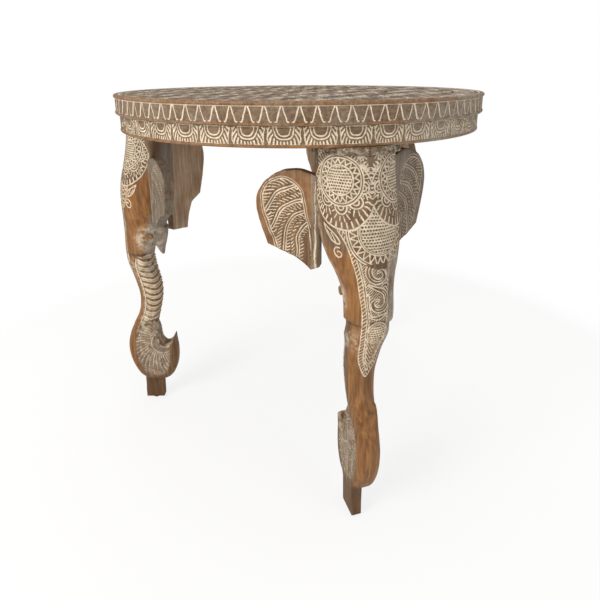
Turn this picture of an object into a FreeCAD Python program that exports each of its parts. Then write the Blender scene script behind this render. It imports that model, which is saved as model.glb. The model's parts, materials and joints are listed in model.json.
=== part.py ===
import FreeCAD, Part
import math
import os

# Sizes are in millimetres. The stool stands at height zero, and is built round the Z axis.

# Round top, made of planks glued edge to edge
top_radius = 254.0
table_height = 508.0
top_thickness = 24.7
plank_count = 4
rim_lip_height = 4.4
rim_lip_projection = 1.6
rim_foot_height = 3.6
rim_foot_projection = 1.0
rim_bevel = 1.2

# Apron ring under the planks, made of curved segments
apron_depth = 22.4
apron_setback = 5.3
apron_width = 30.0
apron_bead_height = 3.0
apron_bead_projection = 0.8
apron_segment_count = 6
apron_first_joint_angle = 40.0

# Where the axis of the top stands, so that the middle of the whole stool's box is over the origin
axis_x = 8.5
axis_y = -7.8

# Legs: the angle of each, how far its trunk bows sideways, how far aside its foot stands, and its two ears with
# their width, their highest place and outer corner below the apron, and their lower tip
legs = [
    {"name": "left_leg", "angle": 198.0, "bow": 0.0, "foot_side": 0.0, "ears": [
        {"width_share": 1.0, "crown": 11.0, "corner": 136.0, "tip": (24.0, 178.0)},
        {"width_share": 0.87, "crown": 40.0, "corner": 120.0, "tip": (8.0, 142.0)}]},
    {"name": "front_leg", "angle": 304.8, "bow": 6.5, "foot_side": -7.5, "ears": [
        {"width_share": 0.9, "crown": 29.0, "corner": 124.0, "tip": (2.0, 144.0)},
        {"width_share": 1.0, "crown": 12.5, "corner": 119.0, "tip": (2.0, 134.0)}]},
    {"name": "back_leg", "angle": 71.0, "bow": 0.0, "foot_side": 0.0, "ears": [
        {"width_share": 1.0, "crown": 21.5, "corner": 128.0, "tip": (12.0, 158.0)},
        {"width_share": 1.0, "crown": 21.5, "corner": 128.0, "tip": (12.0, 158.0)}]},
]

# Head and trunk: share of the leg's height, then front and back reach beyond the edge of the top, and half width
trunk_station_shares = [0.213, 0.256, 0.302, 0.338, 0.382, 0.432, 0.464, 0.512, 0.542,
                        0.579, 0.629, 0.668, 0.729, 0.783, 0.824, 0.883, 0.961, 1.0]
trunk_fronts = [top_radius + out for out in (
    14.0, 20.0, 18.0, 9.5, 4.0, 4.0, 7.0, 13.0, 16.5,
    18.0, 17.5, 17.0, 17.0, 16.5, 14.0, 7.0, 0.0, -2.0)]
trunk_backs = [top_radius + out for out in (
    -10.0, -14.0, -20.5, -26.0, -31.0, -34.0, -33.0, -28.0, -25.0,
    -25.0, -35.0, -46.0, -56.0, -59.0, -59.0, -59.0, -59.0, -58.0)]
trunk_half_widths = [9.0, 12.5, 16.0, 16.5, 17.5, 19.0, 20.5, 23.0, 26.5,
                     29.0, 29.0, 30.0, 39.0, 44.5, 46.0, 46.0, 45.5, 45.0]
trunk_bow_shares = [0.0, 0.0, 0.0, 0.0, 0.0, 0.0, 0.1, 0.35, 0.7,
                    1.0, 1.0, 0.85, 0.5, 0.25, 0.1, 0.0, 0.0, 0.0]
section_points = 12
loft_degree = 3
head_back_square_share = 0.72
head_start_share = 0.65

# Tenon block that stands up inside the apron, against the planks
tenon_depth = 21.7
tenon_half_width = 30.0

# Pointed lower lip behind the root of the trunk, placed in the same way
lip_shares = [0.562, 0.582, 0.614, 0.662]
lip_fronts = [top_radius + out for out in (-36.5, -32.0, -24.5, -16.0)]
lip_backs = [top_radius + out for out in (-41.5, -42.5, -46.5, -50.0)]
lip_half_widths = [3.0, 8.0, 13.0, 19.0]

# Curl at the end of the trunk, drawn in the upright plane of the leg: reach beyond the top's edge and height
curl_thickness = 30.0
curl_edge_round = 11.0
curl_outer = [(top_radius + out, height) for out, height in (
    (5.0, 158.0), (20.0, 134.0), (28.0, 110.0), (28.4, 86.0), (21.5, 62.0), (9.0, 44.0),
    (-8.0, 37.5), (-24.0, 37.5), (-37.0, 43.5), (-46.0, 57.0), (-50.5, 78.0), (-50.7, 98.0),
    (-48.0, 116.0))]
curl_notch = [(top_radius + out, height) for out, height in (
    (-45.5, 116.0), (-39.3, 104.5), (-32.0, 101.0), (-25.5, 106.0), (-22.5, 122.0), (-16.0, 146.0))]

# Square foot below the curl
foot_beyond_edge = 8.0
foot_length = 30.0
foot_half_width = 6.5
foot_flare = 1.2
foot_top = 48.0

# Ear boards: reach outward from the head and drop below its top
ear_thickness = 14.0
ear_sweep_angle = 32.0
ear_root_inset = 48.0
ear_root_side = 46.0
ear_housing_depth = 8.0
ear_root_drop = 30.0
ear_top = [(18.0, 21.5), (46.0, 26.0), (64.0, 40.0), (73.0, 60.0), (71.0, 82.0), (59.0, 119.0)]
ear_corner = (38.0, 128.0)
ear_crown_drop = 21.5
ear_tip_blunt = 4.0

# Stubs of the tusks, set in the sides of the trunk's root
tusk_radius = 5.5
tusk_inset = 26.0
tusk_height_share = 0.64
tusk_inner = 12.0
tusk_outer = 28.0

# Paste that fills the joint between head and apron
filler_height = 9.5
filler_inner = 38.0
filler_outer = 49.0

# Dowels and nails
hole_clearance = 0.1
leg_dowel_radius = 6.0
leg_dowel_side = 20.0
leg_dowel_bite = 30.0
leg_dowel_cover = 11.0
apron_dowel_radius = 4.0
apron_dowel_angle = 18.0
apron_dowel_bite = 12.0
plank_dowel_radius = 4.0
plank_dowel_length = 50.0
plank_dowel_spacing = 110.0
ear_dowel_radius = 4.0
ear_dowel_inner = 24.0
ear_dowel_outer = 14.0
ear_dowel_below_crown = 27.0
ear_dowel_above_corner = 24.0
nail_head_radius = 4.5
nail_head_height = 2.2
nail_shank_radius = 1.5
nail_shank_length = 16.0

# Heights and reaches that follow from the sizes above
plank_bottom = table_height - top_thickness
leg_height = plank_bottom - apron_depth
apron_outer = top_radius - apron_setback
apron_inner = apron_outer - apron_width
apron_middle = apron_outer - apron_width / 2
rim_face = top_radius - rim_lip_projection
foot_outer = top_radius + foot_beyond_edge
foot_inner = foot_outer - foot_length
tenon_back = apron_inner - tenon_depth
ear_root_reach = top_radius - ear_root_inset
tusk_reach = top_radius - tusk_inset

up = FreeCAD.Vector(0, 0, 1)
origin = FreeCAD.Vector(0, 0, 0)


def point(x, y, z):
    return FreeCAD.Vector(x, y, z)


def smooth_edge(points):
    """One smooth curve through a few points."""
    curve = Part.BSplineCurve()
    curve.interpolate(points)
    return curve.toShape()


def rod(radius, start, end):
    """A round rod between two points."""
    path = end - start
    return Part.makeCylinder(radius, path.Length, start, path)


def turned(shape, angle):
    """The shape turned about the axis of the top."""
    copy = shape.copy()
    copy.rotate(origin, up, angle)
    return copy


def revolved(edges):
    """A full ring from a closed outline in the XZ plane."""
    face = Part.Face(Part.Wire(edges))
    return face.revolve(origin, up, 360)


def line(a, b):
    return Part.makeLine(a, b)


# Round top

def top_disc():
    """The whole top, with a bevelled lip round its carved face and a small bevelled foot below."""
    lip_low = table_height - rim_lip_height
    foot_high = plank_bottom + rim_foot_height
    foot_reach = rim_face + rim_foot_projection
    outline = [
        (0, plank_bottom), (rim_face, plank_bottom), (foot_reach, plank_bottom + rim_bevel),
        (foot_reach, foot_high - rim_bevel), (rim_face, foot_high), (rim_face, lip_low),
        (top_radius, lip_low + rim_bevel), (top_radius, table_height - rim_bevel),
        (rim_face, table_height), (0, table_height), (0, plank_bottom),
    ]
    edges = Part.makePolygon([point(x, 0, z) for x, z in outline]).Edges
    return revolved(edges)


def plank_dowel_rods(clearance):
    """The rods across each plank joint, grown by a clearance for their holes."""
    width = 2 * top_radius / plank_count
    half = plank_dowel_length / 2 + clearance
    middle = plank_bottom + top_thickness / 2
    rods = []
    for joint in range(1, plank_count):
        x = joint * width - top_radius
        for y in (-plank_dowel_spacing, plank_dowel_spacing):
            rods.append(rod(plank_dowel_radius + clearance, point(x - half, y, middle), point(x + half, y, middle)))
    return rods


def planks(holes):
    """The planks, cut side by side from the disc."""
    disc = top_disc().cut(Part.makeCompound(holes))
    width = 2 * top_radius / plank_count
    pieces = []
    for index in range(plank_count):
        corner = point(index * width - top_radius, -2 * top_radius, 0)
        slab = Part.makeBox(width, 4 * top_radius, 2 * table_height, corner)
        pieces.append(disc.common(slab))
    return pieces


# Apron

def apron_ring():
    """The whole apron ring, with a small bead round its lower edge."""
    bead_high = leg_height + apron_bead_height
    face = apron_outer - apron_bead_projection
    a = point(apron_inner, 0, leg_height)
    b = point(face, 0, leg_height)
    c = point(apron_outer, 0, leg_height + apron_bead_height / 2)
    d = point(face, 0, bead_high)
    e = point(face, 0, plank_bottom)
    f = point(apron_inner, 0, plank_bottom)
    edges = [line(a, b), Part.Arc(b, c, d).toShape(), line(d, e), line(e, f), line(f, a)]
    return revolved(edges)


def apron_segments(holes):
    """The ring sawn into equal segments at radial joints."""
    ring = apron_ring().cut(Part.makeCompound(holes))
    step = 360 / apron_segment_count
    pieces = []
    for index in range(apron_segment_count):
        wedge = Part.makeCylinder(2 * top_radius, 2 * table_height, origin, up, step)
        pieces.append(ring.common(turned(wedge, apron_first_joint_angle + index * step)))
    return pieces


def apron_dowel_rods(clearance):
    """Upright rods that hold each segment to the planks."""
    step = 360 / apron_segment_count
    low = plank_bottom - apron_dowel_bite - clearance
    high = plank_bottom + apron_dowel_bite + clearance
    upright = rod(apron_dowel_radius + clearance, point(apron_middle, 0, low), point(apron_middle, 0, high))
    rods = []
    for index in range(apron_segment_count):
        middle = apron_first_joint_angle + (index + 0.5) * step
        for side in (-1, 1):
            rods.append(turned(upright, middle + side * apron_dowel_angle))
    return rods


# Legs, each made with its head facing along X and turned to its angle afterwards

def section(height, front, back, half_width, square, side):
    """A closed curve from the back round: round in front, and as square behind as the share says."""
    centre = front - half_width
    points = []
    for index in range(section_points):
        angle = math.pi + 2 * math.pi * index / section_points
        across = math.sin(angle)
        along = math.cos(angle)
        if along >= -1e-9:
            x = centre + half_width * along
            y = half_width * across
        else:
            x = centre - (centre - back) * (-along) ** square
            y = half_width * math.copysign(abs(across) ** square, across)
        points.append(point(x, side + y, height))
    curve = Part.BSplineCurve()
    curve.interpolate(Points=points, PeriodicFlag=True)
    return Part.Wire(curve.toShape())


def trunk_body(bow):
    """Head and trunk as one loft from the curl up to the apron."""
    wires = []
    rows = zip(trunk_station_shares, trunk_fronts, trunk_backs, trunk_half_widths, trunk_bow_shares)
    for share, front, back, half_width, bow_share in rows:
        square = head_back_square_share if share > head_start_share else 1.0
        wires.append(section(share * leg_height, front, back, half_width, square, bow * bow_share))
    return Part.makeLoft(wires, True, False, False, loft_degree)


def lower_lip(bow):
    """The pointed lower lip that hangs behind the trunk, moved aside with its bow."""
    wires = []
    for share, front, back, half_width in zip(lip_shares, lip_fronts, lip_backs, lip_half_widths):
        middle = (front + back) / 2
        reach = (front - back) / 2
        big, small = max(reach, half_width), min(reach, half_width)
        ring = Part.Ellipse(point(middle, bow, share * leg_height), big, small).toShape()
        if half_width > reach:
            ring.rotate(point(middle, bow, share * leg_height), up, 90)
        wires.append(Part.Wire(ring))
    return Part.makeLoft(wires, True, False)


def curl_plate():
    """The rolled end of the trunk, rounded along its outer edge."""
    side = -curl_thickness / 2
    runs = [smooth_edge([point(x, side, z) for x, z in outline]) for outline in (curl_outer, curl_notch)]
    for (x1, z1), (x2, z2) in ((curl_outer[-1], curl_notch[0]), (curl_notch[-1], curl_outer[0])):
        runs.append(line(point(x1, side, z1), point(x2, side, z2)))
    plate = Part.Face(Part.Wire(Part.__sortEdges__(runs))).extrude(point(0, curl_thickness, 0))
    rims = [edge for edge in plate.Edges if edge.BoundBox.YLength < 1e-3 and edge.BoundBox.ZMin < foot_top]
    return plate.makeFillet(curl_edge_round, rims)


def foot_block(foot_side):
    """The square foot, a little wider at its top than on the ground."""
    wires = []
    for height, grow in ((nail_head_height, 0.0), (foot_top, foot_flare)):
        low, high = foot_inner - grow, foot_outer - grow
        half = foot_half_width + grow
        corners = [(low, -half), (high, -half), (high, half), (low, half), (low, -half)]
        wires.append(Part.makePolygon([point(x, foot_side + y, height) for x, y in corners]))
    return Part.makeLoft(wires, True, True)


def tenon():
    """The block that stands inside the apron against the planks."""
    corner = point(tenon_back, -tenon_half_width, leg_height - apron_depth)
    return Part.makeBox(tenon_depth, 2 * tenon_half_width, 2 * apron_depth, corner)


def ear_frame(side):
    """The root point of an ear, its outward direction and its thickness direction."""
    sweep = math.radians(ear_sweep_angle)
    root = point(ear_root_reach, side * ear_root_side, leg_height)
    outward = point(-math.sin(sweep), side * math.cos(sweep), 0)
    across = point(math.cos(sweep), side * math.sin(sweep), 0)
    return root, outward, across


def ear_board(side, ear):
    """One ear: a flat board with a rounded top, a corner low on its outer edge and a lower tip."""
    root, outward, across = ear_frame(side)
    stretch = (ear["corner"] - ear["crown"]) / (ear_corner[1] - ear_crown_drop)

    def on_board(out, drop):
        return root + outward * out - up * drop - across * (ear_thickness / 2)

    def fitted(out, drop):
        return out * ear["width_share"], ear["crown"] + (drop - ear_crown_drop) * stretch

    inner = -ear_housing_depth
    corner, tip = fitted(*ear_corner), ear["tip"]
    root_drop = fitted(0, ear_root_drop)[1]
    between = ((corner[0] + tip[0]) / 2, corner[1] + (tip[1] - corner[1]) * 0.35)
    top_run = [(inner, root_drop)] + [fitted(*place) for place in ear_top]
    runs = [
        smooth_edge([on_board(*place) for place in top_run]),
        smooth_edge([on_board(*place) for place in (top_run[-1], corner)]),
        smooth_edge([on_board(*place) for place in (corner, between, tip)]),
        line(on_board(*tip), on_board(inner, tip[1] - ear_tip_blunt)),
        line(on_board(inner, tip[1] - ear_tip_blunt), on_board(inner, root_drop)),
    ]
    face = Part.Face(Part.Wire(Part.__sortEdges__(runs)))
    return face.extrude(across * ear_thickness)


def ear_dowel_rods(side, ear, clearance):
    """Rods that pin an ear to the head."""
    root, outward, across = ear_frame(side)
    rods = []
    for drop in (ear["crown"] + ear_dowel_below_crown, ear["corner"] - ear_dowel_above_corner):
        seat = root - up * drop
        start = seat - outward * (ear_dowel_inner + clearance)
        end = seat + outward * (ear_dowel_outer + clearance)
        rods.append(rod(ear_dowel_radius + clearance, start, end))
    return rods


def tusk_rod(side, bow, clearance):
    """The stub of one tusk, or the hole for it."""
    height = tusk_height_share * leg_height
    start = point(tusk_reach, bow + side * (tusk_inner - clearance), height)
    end = point(tusk_reach, bow + side * tusk_outer, height)
    return rod(tusk_radius + clearance, start, end)


def leg_dowel_rods(clearance):
    """Upright rods through head, apron and plank."""
    low = leg_height - leg_dowel_bite - clearance
    high = table_height - leg_dowel_cover + clearance
    rods = []
    for side in (-leg_dowel_side, leg_dowel_side):
        rods.append(rod(leg_dowel_radius + clearance, point(apron_middle, side, low), point(apron_middle, side, high)))
    return rods


def foot_nail(foot_side, clearance):
    """A round-headed nail under the foot: its shank, and its head when no clearance is asked."""
    middle = point((foot_inner + foot_outer) / 2, foot_side, 0)
    shank = rod(nail_shank_radius + clearance, middle, middle + up * (nail_shank_length + clearance))
    if clearance:
        return shank
    return shank.fuse(Part.makeCylinder(nail_head_radius, nail_head_height, middle)).removeSplitter()


def leg_block(leg, ears):
    """Head, trunk, lip, curl, foot and tenon carved from one block."""
    bow, foot_side = leg["bow"], leg["foot_side"]
    block = trunk_body(bow)
    for piece in (curl_plate(), foot_block(foot_side), lower_lip(bow), tenon()):
        block = block.fuse(piece)
    for cut in ears + leg_dowel_rods(hole_clearance) + [foot_nail(foot_side, hole_clearance)]:
        block = block.cut(cut)
    for side, ear in zip((-1, 1), leg["ears"]):
        for cut in ear_dowel_rods(side, ear, hole_clearance) + [tusk_rod(side, bow, hole_clearance)]:
            block = block.cut(cut)
    return max(block.Solids, key=lambda solid: solid.Volume)


def filler(block):
    """A half ring of paste in front of the head, under the apron."""
    centre = trunk_fronts[-1] - trunk_half_widths[-1]
    middle = point(centre, 0, leg_height - filler_height)
    outer = Part.makeCylinder(filler_outer, filler_height, middle)
    inner = Part.makeCylinder(filler_inner, filler_height, middle)
    front = Part.makeBox(filler_outer, 2 * filler_outer, filler_height, middle - point(0, filler_outer, 0))
    ring = outer.cut(inner).common(front).cut(block)
    return max(ring.Solids, key=lambda solid: solid.Volume)


def build():
    """Every named piece of the stool."""
    nodes = {}
    leg_rods, leg_holes, ear_rods, nails = [], [], [], []
    for leg in legs:
        name, angle = leg["name"], leg["angle"]
        sides = list(zip((-1, 1), leg["ears"]))
        ears = [ear_board(side, ear) for side, ear in sides]
        block = leg_block(leg, ears)
        nodes[name] = turned(block, angle)
        nodes[name + "_filler"] = turned(filler(block), angle)
        for number, (side, ear) in enumerate(sides, start=1):
            board = ears[number - 1].cut(Part.makeCompound(ear_dowel_rods(side, ear, hole_clearance)))
            nodes[name + "_ear_" + str(number)] = turned(board, angle)
            nodes[name + "_tusk_" + str(number)] = turned(tusk_rod(side, leg["bow"], 0), angle)
            ear_rods += [turned(one, angle) for one in ear_dowel_rods(side, ear, 0)]
        leg_rods += [turned(one, angle) for one in leg_dowel_rods(0)]
        leg_holes += [turned(one, angle) for one in leg_dowel_rods(hole_clearance)]
        nails.append(turned(foot_nail(leg["foot_side"], 0), angle))
    top_holes = leg_holes + apron_dowel_rods(hole_clearance)
    for number, plank in enumerate(planks(top_holes + plank_dowel_rods(hole_clearance)), start=1):
        nodes["top_plank_" + str(number)] = plank
    for number, segment in enumerate(apron_segments(top_holes), start=1):
        nodes["apron_segment_" + str(number)] = segment
    nodes["plank_dowels"] = Part.makeCompound(plank_dowel_rods(0))
    nodes["apron_dowels"] = Part.makeCompound(apron_dowel_rods(0))
    nodes["leg_dowels"] = Part.makeCompound(leg_rods)
    nodes["ear_dowels"] = Part.makeCompound(ear_rods)
    nodes["foot_nails"] = Part.makeCompound(nails)
    return nodes


os.makedirs("parts", exist_ok=True)
for node, shape in build().items():
    shape.translate(point(axis_x, axis_y, 0))
    shape.exportStep("parts/" + node + ".step")
    print(node, len(shape.Solids), round(shape.Volume / 1000, 2), shape.isValid())
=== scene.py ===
import json
import math

import bmesh
import bpy
import numpy as np
from bpy.props import FloatProperty, FloatVectorProperty, IntProperty, PointerProperty
from mathutils import Matrix, Vector

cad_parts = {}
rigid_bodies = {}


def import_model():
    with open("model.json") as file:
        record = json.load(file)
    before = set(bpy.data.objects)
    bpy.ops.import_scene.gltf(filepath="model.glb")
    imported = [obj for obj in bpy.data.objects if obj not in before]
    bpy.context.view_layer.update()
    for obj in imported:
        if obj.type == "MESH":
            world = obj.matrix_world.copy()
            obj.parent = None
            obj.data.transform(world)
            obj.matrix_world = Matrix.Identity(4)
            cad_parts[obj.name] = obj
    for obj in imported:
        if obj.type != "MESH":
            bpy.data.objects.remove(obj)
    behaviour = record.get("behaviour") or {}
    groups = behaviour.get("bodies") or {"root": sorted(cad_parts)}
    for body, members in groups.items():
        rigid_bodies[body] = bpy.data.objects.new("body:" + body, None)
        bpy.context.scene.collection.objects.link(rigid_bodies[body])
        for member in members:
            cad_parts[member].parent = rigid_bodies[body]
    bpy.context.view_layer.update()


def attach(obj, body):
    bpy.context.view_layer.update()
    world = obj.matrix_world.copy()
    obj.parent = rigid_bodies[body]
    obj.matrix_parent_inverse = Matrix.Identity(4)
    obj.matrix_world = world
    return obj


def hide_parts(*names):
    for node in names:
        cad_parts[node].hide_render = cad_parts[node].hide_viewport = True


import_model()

bl_info = {
    "name": "Carved elephant stool",
    "version": (1, 0, 0),
    "blender": (4, 5, 0),
    "location": "3D View > Sidebar > Stool",
    "description": "Builds the limed, carved surfaces of a round stool on three elephant legs",
    "category": "Object",
}

# Sizes are in millimetres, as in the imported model, and turn to metres where a mesh is made.
MM = 0.001

# Round top and its rim
TOP_Z = 508.0
PLANK_LOW = 483.3
RIM_FACE = 252.2
PLANK_JOINTS = (-127.0, 0.0, 127.0)
PLANK_GAP = 0.12
FIELD_RADIUS = 246.6
RIM_FIELD_HIGH = 502.7
RIM_FIELD_LOW = 487.0
RIM_COLUMNS = 24
SEAM_ABOVE = 495.0
# The lip over the rim's triangles, as radius, drop from the top and lime, and the moulding below, with heights
RIM_LIP = ((FIELD_RADIUS, 0.9, 0.6), (247.1, 1.1, 1.0), (247.7, 0.5, 0.4), (248.5, 0.1, 0.0), (250.4, 0.0, 0.0),
           (252.2, 0.2, 0.0), (253.3, 0.8, 0.0), (253.9, 1.9, 0.0), (253.9, 3.0, 0.0), (253.4, 4.0, 0.0),
           (252.5, 4.5, 0.2), (251.7, 4.8, 1.0), (251.5, 5.2, 1.0))
RIM_FOOT = ((252.5, 486.6, 0.25), (253.2, 486.2, 0.0), (253.4, 485.3, 0.0), (253.2, 484.3, 0.0), (252.4, 483.5, 0.0),
            (251.0, PLANK_LOW, 0.0), (248.0, PLANK_LOW, 0.0))
# Rings of the top, as radius and half width, and its rings of petals, as inner and outer radius, count, phase, half
# width of the line and fine strokes in each petal
TOP_RINGS = ((12.0, 0.9), (34.0, 1.0), (37.0, 0.8), (72.0, 1.0), (76.5, 0.9), (112.0, 1.0), (124.0, 1.0), (163.0, 1.1),
             (168.0, 0.8), (214.0, 1.1), (218.5, 0.9), (240.0, 1.0))
TOP_PETALS = ((13.0, 33.0, 12, 0.0, 0.85, 0), (38.5, 71.0, 16, 0.5, 0.95, 9), (78.0, 111.0, 24, 0.0, 0.95, 9),
              (125.5, 162.0, 30, 0.5, 1.0, 10), (220.0, 239.5, 48, 0.0, 0.95, 6))
TOP_BEADS = 62
TOP_COMB = 150
VINE_WAVES = 18
VINE_MIDDLE = 191.0
VINE_LEAVES = 72
FLOWERS = ((0.25, 182.0), (0.75, 200.5))
FLOWER_PETALS = 8

# Apron ring under the planks
APRON_LOW = 460.9
APRON_FACE = 247.9
APRON_BEAD = 248.6
APRON_INNER = 218.7
APRON_BEAD_HIGH = 463.9
FIRST_JOINT = 40.0
SEGMENTS = 6
APRON_COLUMNS = 62
APRON_CUP = (10.4, 13.4)
APRON_INNER_CUP = (7.0, 10.2)
APRON_BEAD_ROWS = [(APRON_BEAD - 0.35, 463.55), (APRON_BEAD, 462.9), (APRON_BEAD, 461.9), (APRON_BEAD - 0.4, 461.2),
                   (247.5, APRON_LOW)]
APRON_BACK_ROWS = [(238.0, APRON_LOW), (228.0, APRON_LOW), (219.6, APRON_LOW), (APRON_INNER, 461.8),
                   (APRON_INNER, 468.0), (APRON_INNER, 475.5), (APRON_INNER, 482.4), (219.6, PLANK_LOW),
                   (228.0, PLANK_LOW), (238.0, PLANK_LOW)]

# The upright axis of the round top
AXIS = (8.5, -7.8)

# Legs: angle, sideways bow of the trunk, how far aside the foot stands, and for each ear its share of the full
# width, the drops of its crown and outer corner, and its lower tip
LEGS = {
    "left_leg": (198.0, 0.0, 0.0, ((1.0, 11.0, 136.0, (24.0, 178.0)), (0.87, 40.0, 120.0, (8.0, 142.0)))),
    "front_leg": (304.8, 6.5, -7.5, ((0.9, 29.0, 124.0, (2.0, 144.0)), (1.0, 12.5, 119.0, (2.0, 134.0)))),
    "back_leg": (71.0, 0.0, 0.0, ((1.0, 21.5, 128.0, (12.0, 158.0)), (1.0, 21.5, 128.0, (12.0, 158.0)))),
}
LEG_TOP = APRON_LOW
LEG_TRIANGLES = 194000
STATIONS = np.array([0.213, 0.256, 0.302, 0.338, 0.382, 0.432, 0.464, 0.512, 0.542,
                     0.579, 0.629, 0.668, 0.729, 0.783, 0.824, 0.883, 0.961, 1.0])
FRONTS = np.array([268.0, 274.0, 272.0, 263.5, 258.0, 258.0, 261.0, 267.0, 270.5,
                   272.0, 271.5, 271.0, 271.0, 270.5, 268.0, 261.0, 254.0, 252.0])
BACKS = np.array([244.0, 240.0, 233.5, 228.0, 223.0, 220.0, 221.0, 226.0, 229.0,
                  229.0, 219.0, 208.0, 198.0, 195.0, 195.0, 195.0, 195.0, 196.0])
HALF_WIDTHS = np.array([9.0, 12.5, 16.0, 16.5, 17.5, 19.0, 20.5, 23.0, 26.5,
                        29.0, 29.0, 30.0, 39.0, 44.5, 46.0, 46.0, 45.5, 45.0])
BOW_SHARES = np.array([0.0, 0.0, 0.0, 0.0, 0.0, 0.0, 0.1, 0.35, 0.7,
                       1.0, 1.0, 0.85, 0.5, 0.25, 0.1, 0.0, 0.0, 0.0])
BODY_HEIGHTS = STATIONS * LEG_TOP
TRUNK_POINTS = 120
LIP_POINTS = 40
LIP_SHARES = (0.562, 0.582, 0.614, 0.662)
LIP_FRONTS = (217.5, 222.0, 229.5, 238.0)
LIP_BACKS = (212.5, 211.5, 207.5, 204.0)
LIP_HALVES = (3.0, 8.0, 13.0, 19.0)
CURL_OUTER = [(259.0, 158.0), (274.0, 134.0), (282.0, 110.0), (282.4, 86.0), (275.5, 62.0), (263.0, 44.0),
              (246.0, 37.5), (230.0, 37.5), (217.0, 43.5), (208.0, 57.0), (203.5, 78.0), (203.3, 98.0), (206.0, 116.0)]
CURL_NOTCH = [(208.5, 116.0), (214.7, 104.5), (222.0, 101.0), (228.5, 106.0), (231.5, 122.0), (238.0, 146.0)]
CURL_HALF = 15.0
CURL_ROUND = 11.0
CURL_EDGE_LAYERS = np.array([6.5, 9.0, 11.5, 13.2, 14.4, CURL_HALF])
# Foot, as front and back, half width and height at its bottom and top; tenon, as front, back and its two sides
FOOT_LAYERS = ((232.1, 261.9, 6.4, 2.3), (230.9, 260.7, 7.6, 48.0))
TENON = (197.0, 218.6, -30.0, 30.0)
TENON_HEIGHTS = (438.5, 483.2)

# Carving of a leg: places as the length round the face and the height
MEDALLION = (35.0, 427.0)
PETAL_DISC = (35.0, 413.0)
PETAL_RADIUS = 36.8
LOW_DISC = (6.0, 373.5)
SMALL_DISC = (0.0, 258.0)
HALF_FLOWERS = (-15.0, -52.0, -90.0, -128.0, -165.0)
BLOOMS = ((8.5, 438.0, 6.2), (5.0, 418.0, 5.0), (9.0, 455.0, 5.5), (60.0, 456.0, 6.5), (36.0, 459.0, 6.0))
EYE = ((-60.0, 379.0), (-53.0, 375.5), (-45.5, 370.0), (-40.0, 361.0), (-47.0, 361.5), (-55.0, 368.0), (-60.0, 379.0))
EYE_STROKES = (((-55.5, 373.0), (-50.5, 366.0)), ((-50.0, 371.0), (-45.0, 362.5)))
EYE_SCROLL = (-43.0, 349.5)
ROPE = ((-39.0, 375.0), (-29.5, 360.0), (-24.6, 345.0), (-20.6, 326.0), (-18.4, 306.0), (-16.6, 284.0),
        (-15.8, 262.0), (-12.6, 238.0), (-8.0, 217.0), (-2.0, 203.0), (0.0, 199.0))
STRIP_LEAVES = ((((9.0, 349.0), (-3.0, 344.0), (-9.5, 334.0), (-6.5, 323.0), (2.0, 319.5), (8.0, 325.0), (5.0, 332.0),
                  (-0.5, 330.0)), 3.3),
                (((-9.5, 316.0), (-1.0, 311.5), (8.0, 305.0), (9.5, 294.0), (3.0, 286.5), (-5.0, 289.0),
                  (-5.5, 296.5), (0.0, 298.0)), 3.2),
                (((10.5, 342.0), (13.5, 331.0), (13.0, 318.0)), 2.2),
                (((-11.0, 305.0), (-12.0, 292.0), (-8.0, 280.0)), 2.2),
                (((4.0, 312.0), (10.5, 314.0), (13.0, 308.0)), 1.9),
                (((-9.0, 278.0), (0.0, 277.0), (9.0, 281.0)), 2.2))
# Ribs round the trunk start further round on the front leg
RIB_PITCH = 9.9
RIB_START = {"left_leg": 1.28, "front_leg": 1.75, "back_leg": 1.28}
# Places of the curl's eye and of the tusk, in the leg's own upright plane
CURL_EYE = (226.0, 108.0)
CURL_FANS = 21
CURL_FIELD = (42.0, 140.0)
RIB_ZONE = (150.0, 262.0)
STRIP_TOP = 342.0
TUSK = (226.0, 290.0)

# Ear boards: out from the head and down from the apron
EAR_HALF = 7.0
EAR_SWEEP = 32.0
EAR_ROOT = (206.0, 46.0)
EAR_INNER = -8.0
EAR_TOP = [(18.0, 21.5), (46.0, 26.0), (64.0, 40.0), (73.0, 60.0), (71.0, 82.0), (59.0, 119.0)]
EAR_ROOT_DROP = 30.0
EAR_CORNER = (38.0, 128.0)
EAR_CROWN = 21.5
EAR_BLUNT = 4.0
EAR_MIDDLE = (27.0, 84.0)
EAR_POINTS = 380
EAR_SHY = 0.008
EAR_VEINS = (
    ((60.0, 74.0), (56.3, 67.0), (47.6, 53.0), (36.0, 45.5), (22.0, 41.0)),
    ((53.0, 96.0), (49.2, 88.0), (41.3, 73.5), (31.0, 65.0), (15.0, 59.0)),
    ((38.0, 128.0), (36.0, 115.0), (33.3, 97.0), (25.4, 81.5), (12.0, 73.0)),
    ((19.0, 140.0), (19.0, 119.0), (17.5, 101.5), (12.0, 93.0), (6.0, 88.0)),
)
EAR_STROKE_PITCH = 4.5
PASTE_VOXEL = 1.1
EAR_FIELD = [(1.5, 150.0), (2.0, 122.0), (4.5, 98.0), (8.5, 80.0), (12.0, 62.0), (15.0, 48.0), (24.0, 37.5),
             (38.0, 33.0), (52.0, 36.5), (61.0, 45.0), (64.0, 57.0), (62.0, 74.0), (57.0, 91.0), (52.0, 104.0),
             (47.0, 116.0), (44.0, 132.0)]
# How far an ear is greyed, made less orange and darkened: the greying is weathered wood, the darkening painted shade on
# ears that lie in shadow
WEATHERED_AND_SHADED_EARS = {"left_leg_ear_2": 1.0, "front_leg_ear_2": 0.85}

# Camera
CAMERA_PLACE = (0.2419, -0.7329, 0.5375)
CAMERA_TURN = 17.78
SENSOR = 36.0
FLOOR_HALF = 9
# Lamps: name, place and size in metres, share of the key light's power, colour
LAMPS = (("key", (-0.9, -1.75, 1.25), 1.1, 1.0, (1.0, 0.97, 0.92)),
         ("side", (1.7, -0.9, 0.9), 1.2, 0.22, (1.0, 1.0, 1.0)),
         ("above", (0.0, 0.3, 2.2), 1.4, 0.35, (1.0, 1.0, 1.0)))
LAMP_AIM = (0.0, 0.0, 0.3)


# Curves and lines

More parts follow.
